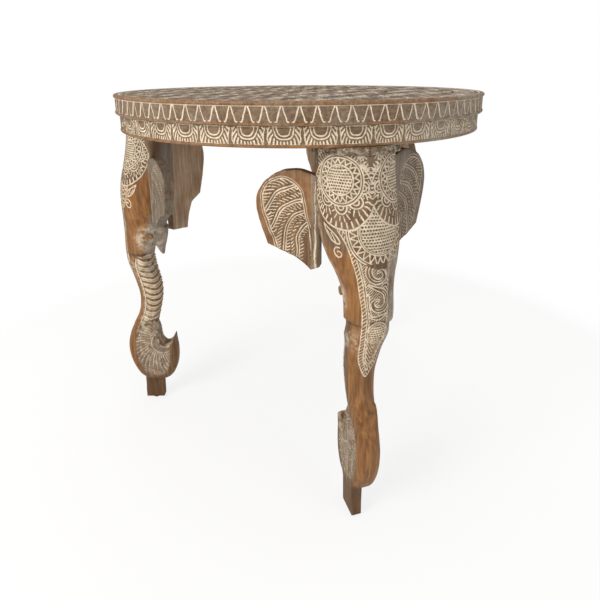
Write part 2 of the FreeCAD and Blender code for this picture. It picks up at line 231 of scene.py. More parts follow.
def spline(points, count):
    """Many points along a smooth curve through a few, spaced evenly."""
    points = np.asarray(points, float)
    steps = np.concatenate(([0.0], np.cumsum(np.hypot(*np.diff(points, axis=0).T))))
    fine = np.linspace(0.0, steps[-1], 40 * len(points))
    curve = np.stack([natural(steps, points[:, axis], fine) for axis in (0, 1)], axis=1)
    walk = np.concatenate(([0.0], np.cumsum(np.hypot(*np.diff(curve, axis=0).T))))
    even = np.linspace(0.0, walk[-1], count)
    return np.stack([np.interp(even, walk, curve[:, axis]) for axis in (0, 1)], axis=1)


def natural(x, y, at):
    """The natural cubic through y at x, read at other places."""
    n = len(x)
    if n == 2:
        return np.interp(at, x, y)
    h = np.diff(x)
    matrix = np.zeros((n, n))
    right = np.zeros(n)
    matrix[0, 0] = matrix[-1, -1] = 1.0
    for i in range(1, n - 1):
        matrix[i, i - 1:i + 2] = h[i - 1], 2 * (h[i - 1] + h[i]), h[i]
        right[i] = 6 * ((y[i + 1] - y[i]) / h[i] - (y[i] - y[i - 1]) / h[i - 1])
    bend = np.linalg.solve(matrix, right)
    i = np.clip(np.searchsorted(x, at) - 1, 0, n - 2)
    a, b = x[i + 1] - at, at - x[i]
    return (bend[i] * a ** 3 + bend[i + 1] * b ** 3) / (6 * h[i]) \
        + (y[i] / h[i] - bend[i] * h[i] / 6) * a + (y[i + 1] / h[i] - bend[i + 1] * h[i] / 6) * b


def near(u, v, points):
    """Distance to a run of straight lines, the signed side and the length walked along it."""
    points = np.asarray(points, float)
    best = np.full(u.shape, 1e9)
    side = np.zeros(u.shape)
    along = np.zeros(u.shape)
    walked = 0.0
    for (ax, ay), (bx, by) in zip(points[:-1], points[1:]):
        dx, dy = bx - ax, by - ay
        length = math.hypot(dx, dy)
        t = np.clip(((u - ax) * dx + (v - ay) * dy) / length ** 2, 0.0, 1.0)
        px, py = u - ax - t * dx, v - ay - t * dy
        d = np.hypot(px, py)
        closer = d < best
        best = np.where(closer, d, best)
        side = np.where(closer, np.sign(dx * (v - ay) - dy * (u - ax)), side)
        along = np.where(closer, walked + t * length, along)
        walked += length
    return best, side * best, along


def groove(distance, half_width):
    """How deep a cut is at a distance from its middle line, from 0 to 1."""
    t = np.clip(1.0 - np.abs(distance) / half_width, 0.0, 1.0)
    return t * t * (3.0 - 2.0 * t)


def step(x, low, high):
    """A soft step from 0 at low to 1 at high."""
    t = np.clip((x - low) / (high - low), 0.0, 1.0)
    return t * t * (3.0 - 2.0 * t)


def between(x, low, high, soft=0.4):
    """1 from low to high, with soft ends."""
    return step(x, low - soft, low + soft) * (1.0 - step(x, high - soft, high + soft))


def merge(*cuts):
    """The deepest of several cuts at each place."""
    return np.maximum.reduce(cuts)


def saw(x):
    """The distance from the nearest whole number."""
    return np.abs(x - np.round(x))


def away(u, v, centre):
    """The distance from a point."""
    return np.hypot(u - centre[0], v - centre[1])


def rings(reach, *sizes):
    """Cuts at several distances, each given with half its width."""
    return merge(*(groove(reach - radius, half_width) for radius, half_width in sizes))


def stripes(x, pitch, half_width):
    """Cuts at even steps of a length."""
    return groove(saw(x / pitch) * pitch, half_width)


def spokes(angle, reach, count, half_width):
    """Cuts like the spokes of a wheel."""
    return groove(saw(angle * count / (2 * math.pi)) * 2 * math.pi * reach / count, half_width)


def wobble(u, v, size, seed):
    """A gentle uneven field between about -1 and 1, for the unsteady hand."""
    random = np.random.default_rng(seed)
    total = np.zeros(np.broadcast(u, v).shape)
    for _ in range(5):
        angle = random.uniform(0.0, 2 * math.pi)
        wave = random.uniform(0.6, 1.6) * 2 * math.pi / size
        total = total + np.sin(wave * (math.cos(angle) * u + math.sin(angle) * v) + random.uniform(0.0, 6.28))
    return total / 2.5


# Carved patterns, each a field of cuts from 0 to 1 over places in millimetres

def teeth_cut(u, v, centre, inner, outer, count, half_width, phase=0.0):
    """A ring of triangles outlined in cuts, with their points outward."""
    x, y = u - centre[0], v - centre[1]
    radius = np.hypot(x, y)
    turn = np.arctan2(y, x) * count / (2 * math.pi) + phase
    share = (radius - inner) / (outer - inner)
    reach = saw(turn) * 2 * math.pi * radius / count
    tooth = math.pi * radius / count * (1.0 - share)
    slope = math.cos(math.atan2(math.pi * inner / count, outer - inner))
    return groove((reach - tooth) * slope, half_width) * between(share, 0.0, 1.0, 0.08)


def dots_cut(u, v, centre, radius, pitch):
    """A disc cut back all over except for rows of small raised dots."""
    x, y = u - centre[0], v - centre[1]
    row = y / pitch
    column = x / pitch + 0.5 * np.mod(np.round(row), 2)
    raised = np.clip(1.52 - 3.1 * np.hypot(saw(row), saw(column) * 0.8), 0.0, 1.0)
    return (1.0 - step(raised, 0.15, 0.65)) * (1.0 - step(np.hypot(x, y), radius - 0.5, radius + 0.3))


def rope_cut(u, v, points, half, pitch, half_width):
    """A twisted rope along a line: two edges and slanting strokes between them."""
    gap, side, along = near(u, v, points)
    twist = stripes(along + side * 0.8, pitch, half_width) * (1.0 - step(gap, half - 0.3, half + 0.2))
    return merge(groove(gap - half, half_width), twist)


def line_cut(u, v, points, half_width):
    """A cut along a run of lines."""
    return groove(near(u, v, points)[0], half_width)


def scroll(centre, start, radius, turns, shrink=0.75, count=22):
    """Points of a spiral that winds in on its centre."""
    share = np.linspace(0.0, 1.0, count)
    angle = math.radians(start) + share * turns * 2 * math.pi
    reach = radius * (1.0 - shrink * share)
    return np.stack([centre[0] + reach * np.cos(angle), centre[1] + reach * np.sin(angle)], axis=1)


# Meshes

def fill_mesh(mesh, points, groups, values):
    """Put points in mm, groups of faces and named values at the points into a mesh."""
    faces = [face for group in groups for face in (group.tolist() if isinstance(group, np.ndarray) else group)]
    sizes = [len(face) for face in faces]
    mesh.vertices.add(len(points))
    put_positions(mesh, np.asarray(points))
    mesh.loops.add(sum(sizes))
    mesh.loops.foreach_set("vertex_index", np.array([corner for face in faces for corner in face], np.int32))
    mesh.polygons.add(len(sizes))
    mesh.polygons.foreach_set("loop_start", np.concatenate(([0], np.cumsum(sizes)[:-1])).astype(np.int32))
    mesh.update(calc_edges=True)
    for name, value in values.items():
        set_value(mesh, name, value)


def set_value(mesh, name, value):
    """Name a value at each point of a mesh."""
    layer = mesh.attributes.get(name) or mesh.attributes.new(name, "FLOAT", "POINT")
    layer.data.foreach_set("value", np.asarray(value, np.float32))


def new_object(name, mesh):
    """A thing of the scene for a mesh."""
    thing = bpy.data.objects.new(name, mesh)
    bpy.context.scene.collection.objects.link(thing)
    return thing


def read_vectors(mesh, name):
    """Places or normals of the points, as they are in the mesh."""
    flat = np.empty(len(mesh.vertices) * 3, np.float32)
    mesh.vertices.foreach_get(name, flat)
    return flat.reshape(-1, 3).astype(float)


def positions(mesh):
    """Places of the points in millimetres."""
    return read_vectors(mesh, "co") / MM


def put_positions(mesh, points):
    """Move the points to places in millimetres."""
    mesh.vertices.foreach_set("co", (points * MM).astype(np.float32).ravel())


def smooth_faces(mesh, angle):
    """Smooth shading, but hard edges where faces meet at more than an angle."""
    mesh.shade_smooth()
    mesh.set_sharp_from_angle(angle=math.radians(angle))


def outward(mesh):
    """Turn all faces outward."""
    shape = bmesh.new()
    shape.from_mesh(mesh)
    bmesh.ops.recalc_face_normals(shape, faces=shape.faces)
    shape.to_mesh(mesh)
    shape.free()


def evaluated(thing):
    """A new mesh of a thing with its modifiers applied."""
    bpy.context.view_layer.update()
    return bpy.data.meshes.new_from_object(thing.evaluated_get(bpy.context.evaluated_depsgraph_get()))


def modified(name, mesh, kind, **settings):
    """A new mesh, made from another by one modifier."""
    thing = new_object(name, mesh)
    modifier = thing.modifiers.new(name, kind)
    for key, value in settings.items():
        setattr(modifier, key, value)
    made = evaluated(thing)
    bpy.data.objects.remove(thing)
    return made


def finished(name, mesh, material, angle, sharp):
    """A piece with its material, at its place round the axis, with hard edges above an angle."""
    mesh.materials.clear()
    mesh.materials.append(material)
    stand(mesh, angle)
    smooth_faces(mesh, sharp)
    return new_object(name, mesh)


def grid_faces(rows, columns, closed=False):
    """Four-sided faces of a grid of points, laid row by row, that may close on itself across."""
    i, j = np.meshgrid(np.arange(rows - 1), np.arange(columns if closed else columns - 1), indexing="ij")
    k = (j + 1) % columns
    a, b, c, d = i * columns + j, i * columns + k, (i + 1) * columns + k, (i + 1) * columns + j
    return np.stack([a, b, c, d], axis=-1).reshape(-1, 4)


# Node trees and procedural materials

class Nodes:
    """Short calls to build a node tree."""

    def __init__(self, tree):
        self.tree = tree
        tree.nodes.clear()

    def node(self, kind, inputs=None, **settings):
        made = self.tree.nodes.new(kind)
        for key, value in settings.items():
            setattr(made, key, value)
        for key, value in (inputs or {}).items():
            if isinstance(value, bpy.types.NodeSocket):
                self.tree.links.new(value, made.inputs[key])
            else:
                made.inputs[key].default_value = value
        return made

    def math(self, operation, a, b=0.5, clamp=False):
        return self.node("ShaderNodeMath", {0: a, 1: b}, operation=operation, use_clamp=clamp).outputs[0]

    def plus(self, a, b, clamp=False):
        return self.math("ADD", a, b, clamp)

    def times(self, a, b, clamp=False):
        return self.math("MULTIPLY", a, b, clamp)


class Shader(Nodes):
    """A material with its node tree."""

    def __init__(self, name):
        self.material = bpy.data.materials.new(name)
        self.material.use_nodes = True
        super().__init__(self.material.node_tree)

    def soft(self, value, low, high):
        return self.node("ShaderNodeMapRange", {"Value": value, "From Min": low, "From Max": high},
                         interpolation_type="SMOOTHSTEP").outputs[0]

    def mix(self, share, a, b, blend="MIX"):
        return self.node("ShaderNodeMix", {0: share, 6: a, 7: b}, data_type="RGBA", blend_type=blend).outputs[2]

    def value(self, name):
        return self.node("ShaderNodeAttribute", attribute_name=name).outputs["Fac"]

    def place(self):
        return self.node("ShaderNodeTexCoord").outputs["Object"]

    def noise(self, vector, scale, detail=3.0, roughness=0.55):
        return self.node("ShaderNodeTexNoise", {"Vector": vector, "Scale": scale, "Detail": detail,
                                                "Roughness": roughness}).outputs["Fac"]

    def stretched(self, place, scale, detail, roughness):
        mapped = self.node("ShaderNodeMapping", {"Vector": place, "Scale": scale}).outputs[0]
        return self.noise(mapped, 1.0, detail, roughness)

    def surface(self, height, strength, distance, inputs):
        """The wood or paste itself, with a fine bump."""
        if height is not None:
            inputs["Normal"] = self.node("ShaderNodeBump", {"Height": height, "Strength": strength,
                                                            "Distance": distance}).outputs[0]
        surface = self.node("ShaderNodeBsdfPrincipled", inputs)
        self.node("ShaderNodeOutputMaterial", {"Surface": surface.outputs[0]})
        return self.material


def tint(colour, factor=1.0):
    """A colour made darker or lighter, for a node."""
    return (colour[0] * factor, colour[1] * factor, colour[2] * factor, 1.0)


def limed_wood(name, looks, grain, plain=0.0, grey=0.0, whitewash=0.0, right_grey=0.0, paler=1.0):
    """Brown wood with pale lime left in its cuts, worn and greyed in places, darkened with painted shade and lightened
    with painted light where the mesh asks for it.
    """
    s = Shader(name)
    place = s.place()
    fibre = s.stretched(place, grain, 4.0, 0.62)
    streak = s.stretched(place, [g * 0.34 for g in grain], 2.0, 0.5)
    patch = s.noise(place, 22.0, 3.0, 0.6)
    speck = s.noise(place, 900.0, 2.0, 0.6)
    blotch = s.noise(place, 130.0, 3.0, 0.6)

    brown = s.mix(s.soft(fibre, 0.3, 0.72), tint(looks.wood_dark), tint(looks.wood_light))
    orange = s.mix(s.soft(fibre, 0.28, 0.75), tint(looks.polish_dark), tint(looks.polish_light))
    colour = s.mix(s.plus(s.value("warm"), plain, True), brown, orange)
    colour = s.mix(s.times(s.soft(streak, 0.52, 0.7), 0.4), colour, tint(looks.wood_dark, 0.62))

    ageing = s.plus(s.value("grey"), grey)
    if right_grey:
        across = s.node("ShaderNodeVectorMath", {0: place, 1: (0.951, 0.309, 0.0)}, operation="DOT_PRODUCT")
        ageing = s.plus(ageing, s.times(s.soft(across.outputs["Value"], 0.03, 0.2), right_grey))
    ageing = s.times(ageing, s.plus(s.soft(patch, 0.3, 0.65), 0.35), True)
    silver = s.mix(s.soft(fibre, 0.3, 0.7), tint(looks.grey_wood, 0.7), tint(looks.grey_wood, 1.25))
    colour = s.mix(ageing, colour, silver)
    # Painted light: the colour is brightened up to 2.5 times on the backs of the ears, which lie in shade.
    colour = s.mix(s.value("faded"), colour, s.mix(1.0, colour, (2.5, 2.4, 2.3, 1.0), "MULTIPLY"))

    wash = s.times(s.plus(s.value("wash"), whitewash), s.soft(blotch, 0.36, 0.62), True)
    broken = s.times(s.math("SUBTRACT", s.plus(s.times(blotch, 0.5), s.times(speck, 0.5)), 0.5), 0.9)
    cut = s.soft(s.plus(s.value("lime"), broken), 0.16, 0.5)
    pale = s.mix(s.soft(blotch, 0.3, 0.7), tint(looks.lime, 0.8 * paler), tint(looks.lime, 1.08 * paler))
    pale = s.mix(s.times(ageing, 0.5), pale, tint(looks.grey_wood, 1.9))
    colour = s.mix(s.times(wash, 0.8), colour, pale)
    colour = s.mix(s.times(cut, 0.94), colour, pale)
    # Painted shade: darken towards very dark wood where the shade value is set, as in the notch round the trunk, on the
    # ear backs under the apron, behind the heads and on the ears in shadow; the same value also darkens patches of the
    # top and the foot.
    colour = s.mix(s.times(s.value("shade"), 0.8, True), colour, tint(looks.wood_dark, 0.22))
    colour = s.mix(s.times(s.soft(speck, 0.6, 0.75), 0.25), colour, tint(looks.wood_dark, 0.5))

    rough = s.plus(0.5, s.times(s.math("MAXIMUM", cut, wash), 0.3))
    rough = s.plus(rough, s.times(ageing, 0.15), True)
    height = s.plus(s.times(fibre, 0.5), s.times(speck, s.plus(0.15, s.times(cut, 0.6))))
    return s.surface(height, 0.22, 0.0006, {"Base Color": colour, "Roughness": rough, "IOR": 1.42,
                                            "Specular IOR Level": 0.35})


def paste_material(looks):
    """The rough brownish paste of the joints, with dark flecks of painted shade for its hollows."""
    s = Shader("filler paste")
    place = s.place()
    lump = s.noise(place, 160.0, 4.0, 0.65)
    crumb = s.noise(place, 700.0, 3.0, 0.7)
    colour = s.mix(s.soft(lump, 0.38, 0.66), tint(looks.wood_light, 0.6), tint(looks.lime, 0.5))
    # Painted shade: dark flecks standing in for the shade in the paste's hollows.
    colour = s.mix(s.soft(crumb, 0.47, 0.7), colour, tint(looks.wood_dark, 0.7))
    return s.surface(s.plus(lump, s.times(crumb, 0.4)), 0.6, 0.0015, {"Base Color": colour, "Roughness": 0.85})


def iron_material():
    """Dark nail heads, rubbed bright in spots."""
    s = Shader("nail iron")
    rust = s.noise(s.place(), 500.0, 4.0, 0.6)
    colour = s.mix(s.soft(rust, 0.4, 0.7), (0.03, 0.026, 0.024, 1.0), (0.11, 0.06, 0.035, 1.0))
    return s.surface(None, 0.0, 0.0, {"Base Color": colour, "Metallic": 0.8,
                                      "Roughness": s.plus(0.35, s.times(rust, 0.4))})


# A row of like tiles, joined into one skin and bent round the axis of the stool

def bent_row_tree():
    """Geometry Nodes: tiles in a row, sewn together, bent round the axis and given a material."""
    tree = bpy.data.node_groups.new("bent row", "GeometryNodeTree")
    sockets = {}
    for name, kind, value in (("Geometry", "Geometry", None), ("Tile", "Object", None), ("Count", "Int", 7),
                              ("Pitch", "Float", 0.03), ("Turn per metre", "Float", 4.0), ("Start", "Float", 0.0),
                              ("Unsteadiness", "Float", 0.0004), ("Material", "Material", None)):
        made = tree.interface.new_socket(name, in_out="INPUT", socket_type="NodeSocket" + kind)
        if value is not None:
            made.default_value = value
        sockets[name] = made.identifier
    tree.interface.new_socket("Geometry", in_out="OUTPUT", socket_type="NodeSocketGeometry")

    g = Nodes(tree)
    source = g.node("NodeGroupInput").outputs
    tile = g.node("GeometryNodeObjectInfo", {"Object": source["Tile"]}).outputs["Geometry"]
    offset = g.node("ShaderNodeCombineXYZ", {"X": source["Pitch"]}).outputs[0]
    row = g.node("GeometryNodeMeshLine", {"Count": source["Count"], "Offset": offset}, mode="OFFSET").outputs[0]
    copies = g.node("GeometryNodeInstanceOnPoints", {"Points": row, "Instance": tile}).outputs[0]
    real = g.node("GeometryNodeRealizeInstances", {0: copies}).outputs[0]
    both = g.node("GeometryNodeJoinGeometry", {0: real})
    tree.links.new(source["Geometry"], both.inputs[0])
    sewn = g.node("GeometryNodeMergeByDistance", {0: both.outputs[0], "Distance": 0.00002}).outputs[0]
    place = g.node("ShaderNodeSeparateXYZ", {0: g.node("GeometryNodeInputPosition").outputs[0]}).outputs
    angle = g.plus(source["Start"], g.times(place["X"], source["Turn per metre"]))
    walk = g.node("ShaderNodeCombineXYZ", {"X": g.times(9.0, g.math("COSINE", angle)),
                                           "Y": g.times(9.0, g.math("SINE", angle)), "Z": g.times(place["Z"], 60.0)})
    hand = g.node("ShaderNodeTexNoise", {"Vector": walk.outputs[0], "Scale": 1.6}).outputs["Fac"]
    slip = g.times(g.math("SUBTRACT", hand, 0.5), g.times(source["Unsteadiness"], source["Turn per metre"]))
    turned = g.plus(angle, g.times(slip, 2.0))
    bent = g.node("ShaderNodeCombineXYZ", {"X": g.times(place["Y"], g.math("COSINE", turned)),
                                           "Y": g.times(place["Y"], g.math("SINE", turned)), "Z": place["Z"]})
    placed = g.node("GeometryNodeSetPosition", {"Geometry": sewn, "Position": bent.outputs[0]}).outputs[0]
    painted = g.node("GeometryNodeSetMaterial", {"Geometry": placed, "Material": source["Material"]}).outputs[0]
    g.node("NodeGroupOutput", {0: painted})
    return tree, sockets


def bent_row(name, row, caps, tile, count, whole, pitch, start, unsteady, material):
    """The plain mesh of a bent row of tiles, of which a whole number would close the ring."""
    tree, sockets = row
    carrier = new_object(name + " carrier", caps)
    modifier = carrier.modifiers.new("bent row", "NODES")
    modifier.node_group = tree
    for key, value in (("Tile", tile), ("Count", count), ("Pitch", pitch * MM),
                       ("Turn per metre", 2 * math.pi / (whole * pitch * MM)), ("Start", start),
                       ("Unsteadiness", unsteady * MM), ("Material", material)):
        modifier[sockets[key]] = value
    carrier.update_tag()
    mesh = evaluated(carrier)
    mesh.name = name
    bpy.data.objects.remove(carrier)
    return mesh


def spread(values, columns):
    """A column of values repeated across a tile."""
    return np.repeat(np.asarray(values, float)[:, None], columns, axis=1)


def tile_points(x, radius, height):
    """Points of a flat tile: along it, its radius and its height."""
    return np.stack([np.repeat(x[None, :], len(radius), axis=0), radius, height], axis=-1).reshape(-1, 3)


# Top

def top_pattern(radius, angle):
    """The lotus rings of the top: cuts from 0 to 1 at a distance from the middle and an angle."""
    u, v = radius * np.cos(angle), radius * np.sin(angle)

    def petals(inner, outer, count, phase, width, strokes):
        share = (radius - inner) / (outer - inner)
        turn = angle * count / (2 * math.pi) + phase
        reach = saw(turn) * 2 * math.pi * radius / count
        full = math.pi * radius / count
        shape = full * 0.93 * np.sqrt(np.clip(1.0 - np.clip(share, 0.0, 1.0) ** 2.2, 0.0, 1.0))
        inside = between(share, 0.0, 1.0, 0.02)
        edge = groove(reach - shape, width) * inside
        second = groove(reach - shape * 0.68, width * 0.75) * between(share, 0.06, 0.72, 0.02)
        fine = np.zeros_like(edge)
        if strokes:
            comb = groove(saw(share * strokes + reach * 0.09) * (outer - inner) / strokes, 0.55)
            fine = comb * (reach < shape * 0.98) * (reach > shape * 0.72) * inside
        stem = groove(reach, 0.6) * between(share, 0.05, 0.55, 0.02)
        return merge(edge, second, fine, stem)

    bead = saw(angle * TOP_BEADS / (2 * math.pi)) * 2 * math.pi * radius / TOP_BEADS
    vine = VINE_MIDDLE + 9.5 * np.sin(angle * VINE_WAVES)
    cuts = merge(rings(radius, *TOP_RINGS), dots_cut(u, v, (0.0, 0.0), 11.2, 3.1),
                 *(petals(*ring) for ring in TOP_PETALS),
                 groove(np.hypot(bead, radius - 118.0) - 3.6, 0.85),
                 groove((radius - vine) * 0.86, 1.1) * between(radius, 170.0, 212.5))
    lobe = angle * VINE_WAVES / (2 * math.pi)
    for shift, where in FLOWERS:
        du = (np.mod(lobe - shift + 0.5, 1.0) - 0.5) * 2 * math.pi * radius / VINE_WAVES
        dv = radius - where
        reach = np.hypot(du, dv)
        turn = np.arctan2(dv, du) * FLOWER_PETALS / (2 * math.pi)
        edge = 9.0 * (0.78 + 0.22 * np.sqrt(np.clip(1.0 - (2 * saw(turn)) ** 2, 0.0, 1.0)))
        veins = groove((0.5 - saw(turn)) * 2 * math.pi * reach / FLOWER_PETALS, 0.7) * between(reach, 3.2, 8.0)
        cuts = np.where(reach < 10.0, merge(groove(reach - edge, 0.9), groove(reach - 3.2, 0.8), veins), cuts)
    leaf = saw(angle * VINE_LEAVES / (2 * math.pi)) * 2 * math.pi * radius / VINE_LEAVES
    low = groove(leaf - 6.0 * (1.0 - np.clip((radius - 169.5) / 8.5, 0.0, 1.0)), 0.8) * between(radius, 169.0, 178.0)
    high = groove(leaf - 6.5 * (1.0 - np.clip((213.0 - radius) / 8.5, 0.0, 1.0)), 0.8) * between(radius, 204.5, 213.5)
    cuts = merge(cuts, np.where(np.abs(radius - vine) > 4.0, merge(low, high), 0.0))
    return merge(cuts, spokes(angle, radius, TOP_COMB, 0.9) * between(radius, 241.5, 245.6))


def rim_tile(pitch):
    """One tile of the rim, flat: along, radius and height, with the cut of one tall triangle."""
    heights = np.linspace(RIM_FIELD_HIGH - 0.2, RIM_FIELD_LOW, 26)
    rows = np.array([(radius, TOP_Z - drop, lime) for radius, drop, lime in RIM_LIP]
                    + [(RIM_FACE, z, 0.0) for z in heights] + list(RIM_FOOT))
    lip, field = len(RIM_LIP), len(RIM_LIP) + len(heights)
    x = np.linspace(-pitch / 2, pitch / 2, RIM_COLUMNS + 1)
    radius, height, lime = (spread(rows[:, column], len(x)) for column in range(3))
    share = (RIM_FIELD_HIGH - heights)[:, None] / (RIM_FIELD_HIGH - RIM_FIELD_LOW)
    side = 0.9 + 4.6 * np.clip(share, 0.0, 1.0) + 0.9 * step(share, 0.88, 1.0)
    reach = np.abs(x)[None, :]
    foot = groove((share - 0.955) * 15.6, 0.7) * step(reach, 4.4, 5.2) * (1.0 - step(reach, 7.2, 8.0))
    cut = merge(groove((reach - side) * 0.96, 1.0), foot * 0.9)
    lime[lip:field] = cut
    radius[lip:field] -= 0.85 * cut + 0.35 * (reach < side) * (1.0 - cut)
    warm = np.zeros_like(lime)
    warm[2:lip - 2] = 0.85
    warm[field:field + 6] = 0.7
    mesh = bpy.data.meshes.new("rim tile")
    fill_mesh(mesh, tile_points(x, radius, height), [grid_faces(len(rows), len(x))],
              {"lime": lime.ravel(), "warm": warm.ravel()})
    return mesh


def disc_skin(columns, inner, depth):
    """The carved face of the top inside the lip, in rings that halve their columns towards the middle."""
    bands = ((FIELD_RADIUS, 124.0, columns, 1.25), (124.0, 62.0, columns // 2, 1.3),
             (62.0, 22.0, columns // 4, 1.3), (22.0, inner, columns // 12, 1.3))
    points, quads, others = [], [], []
    offset = 0
    last = None
    for high, low, count, pace in bands:
        rows = max(2, int(round((high - low) / pace)))
        radii = np.linspace(high, low, rows + 1)
        angle = np.arange(count) * 2 * math.pi / count
        radius, turn = np.meshgrid(radii, angle, indexing="ij")
        points.append(np.stack([radius.ravel(), turn.ravel()], axis=1))
        quads.append(grid_faces(rows + 1, count, True) + offset)
        if last is not None:
            start, wide = last
            ratio = wide // count
            for j in range(count):
                outer = [start + (j * ratio + k) % wide for k in range(ratio + 1)]
                others.append(outer + [offset + (j + 1) % count, offset + j])
        last = (offset + rows * count, count)
        offset += (rows + 1) * count
    start, count = last
    points.append(np.array([[0.0, 0.0]]))
    fan = np.array([[start + j, start + (j + 1) % count, offset] for j in range(count)])
    polar = np.concatenate(points)
    cut = top_pattern(polar[:, 0], polar[:, 1])
    edge = step(polar[:, 0], FIELD_RADIUS - 0.8, FIELD_RADIUS - 0.1)
    u, v = polar[:, 0] * np.cos(polar[:, 1]), polar[:, 0] * np.sin(polar[:, 1])
    uneven = 0.25 * (wobble(u, v, 60.0, 3) * 0.5 + 0.5)
    height = TOP_Z - 0.35 - depth * cut * (1.0 - edge) - uneven * (1.0 - edge) - 0.55 * edge
    xyz = np.stack([u, v, height], axis=1)
    return xyz, quads, others, fan, merge(cut, edge * 0.6)


def build_top(settings):
    """The four planks of the top, cut from one carved disc."""
    material = limed_wood("limed plank", settings.looks, (330.0, 26.0, 330.0), grey=0.3, right_grey=0.4)
    count = settings.top.triangles
    pitch = 2 * math.pi * RIM_FACE / count
    tile = new_object("rim tile", rim_tile(pitch))
    ring = bent_row("rim ring", bent_row_tree(), bpy.data.meshes.new("no caps"), tile, count, count, pitch, 0.0,
                    settings.top.unsteady, material)
    bpy.data.objects.remove(tile)
    xyz, quads, others, fan, lime = disc_skin(count * RIM_COLUMNS // 2, 4.0, settings.top.depth)
    mottle = wobble(xyz[:, 0], xyz[:, 1] * 0.45, 34.0, 17) + 0.6 * wobble(xyz[:, 0], xyz[:, 1] * 0.5, 15.0, 18)
    mesh = bpy.data.meshes.new("disc")
    fill_mesh(mesh, xyz, quads + [others, fan],
              {"lime": lime * 1.2, "grey": np.full(len(lime), 0.1), "wash": 0.95 * step(mottle, 0.0, 1.1),
               "shade": 0.8 * step(-mottle, 0.0, 1.1) * (1.0 - lime)})
    whole = bmesh.new()
    whole.from_mesh(mesh)
    whole.from_mesh(ring)
    sew_disc_to_ring(whole)
    bmesh.ops.contextual_create(whole, geom=[edge for edge in whole.edges if edge.is_boundary])
    bmesh.ops.recalc_face_normals(whole, faces=whole.faces)
    joints = (None, *PLANK_JOINTS, None)
    for number in range(len(joints) - 1):
        piece = whole.copy()
        for x, direction in ((joints[number], -1.0), (joints[number + 1], 1.0)):
            if x is None:
                continue
            cut = bmesh.ops.bisect_plane(piece, geom=piece.verts[:] + piece.edges[:] + piece.faces[:], dist=1e-7,
                                         plane_co=((x - PLANK_GAP * direction) * MM, 0.0, 0.0),
                                         plane_no=(direction, 0.0, 0.0), clear_outer=True)
            bmesh.ops.contextual_create(piece, geom=[g for g in cut["geom_cut"]
                                                     if isinstance(g, bmesh.types.BMEdge)])
        bmesh.ops.triangulate(piece, faces=[face for face in piece.faces if len(face.verts) > 8])
        bmesh.ops.recalc_face_normals(piece, faces=piece.faces)
        name = "plank_%d_carved" % (number + 1)
        out = bpy.data.meshes.new(name)
        piece.to_mesh(out)
        piece.free()
        thing = finished(name, out, material, 0.0, 50.0)
        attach(thing, "root")
        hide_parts("top_plank_%d" % (number + 1))
    whole.free()


def sew_disc_to_ring(shape):
    """Join the disc's outer circle, which has half as many points, to the ring's inner top circle."""
    edges = [e for e in shape.edges if e.is_boundary and (e.verts[0].co.z + e.verts[1].co.z) / 2 / MM > SEAM_ABOVE]
    bmesh.ops.bridge_loops(shape, edges=edges)
    shape.normal_update()


# Apron

def apron_tile(pitch):
    """One tile of the apron, flat: a U of two lines, feathered sides and half a stem each side."""
    rows_z = np.linspace(PLANK_LOW - 0.05, APRON_BEAD_HIGH, 33)
    profile = np.array([(APRON_FACE, z) for z in rows_z] + APRON_BEAD_ROWS + APRON_BACK_ROWS)
    front, rows = len(rows_z), len(profile)
    x = np.linspace(0.0, pitch, APRON_COLUMNS + 1)
    wide = len(x)
    radius, height = spread(profile[:, 0], wide), spread(profile[:, 1], wide)
    u = np.repeat((x - pitch / 2)[None, :], front, axis=0)
    lime = np.zeros(radius.shape)
    lime[:front] = apron_pattern(u, spread(PLANK_LOW - rows_z, wide), pitch)
    radius[:front] -= lime[:front]
    warm = np.zeros(radius.shape)
    warm[front - 1:front + len(APRON_BEAD_ROWS)] = 0.9
    i, j = np.meshgrid(np.arange(rows), np.arange(wide - 1), indexing="ij")
    k = (i + 1) % rows
    faces = np.stack([i * wide + j, i * wide + j + 1, k * wide + j + 1, k * wide + j], axis=-1).reshape(-1, 4)
    return tile_points(x, radius, height), faces, {"lime": lime.ravel(), "warm": warm.ravel()}, rows


def apron_pattern(u, down, pitch):
    """Cuts of one motif of the apron, at places aside from its middle and down from the planks."""
    side = np.abs(u)

    def cup(half, depth, power=2.7):
        return ((side / half) ** power + (np.clip(down, 0.0, None) / depth) ** power) ** (1 / power)

    outer = cup(*APRON_CUP)
    stem = pitch / 2 - (1.15 + 0.9 * step(down, 1.5, 7.0) + 1.5 * step(down, 13.0, 19.5))
    turn = np.arctan2(down / APRON_CUP[1], side / APRON_CUP[0] + 1e-6)
    lean = turn - 0.55 * (outer - 1.0) * np.cos(turn)
    strokes = groove(saw(lean * 5.5 / (math.pi / 2) + 0.5) * 3.7, 1.3)
    inside = step(outer, 1.13, 1.2) * (side < stem - 0.9) * between(down, 1.0, 18.6, 0.3)
    return merge(groove((outer - 1.0) * 11.3, 0.95), groove((cup(*APRON_INNER_CUP) - 1.0) * 8.2, 0.9),
                 groove(down - 1.1, 0.8) * (side < 12.0) * 0.7,
                 groove(side - stem, 0.85) * between(down, 1.6, 19.2, 0.4),
                 strokes * inside, groove(down - 19.0, 0.5) * 0.55)


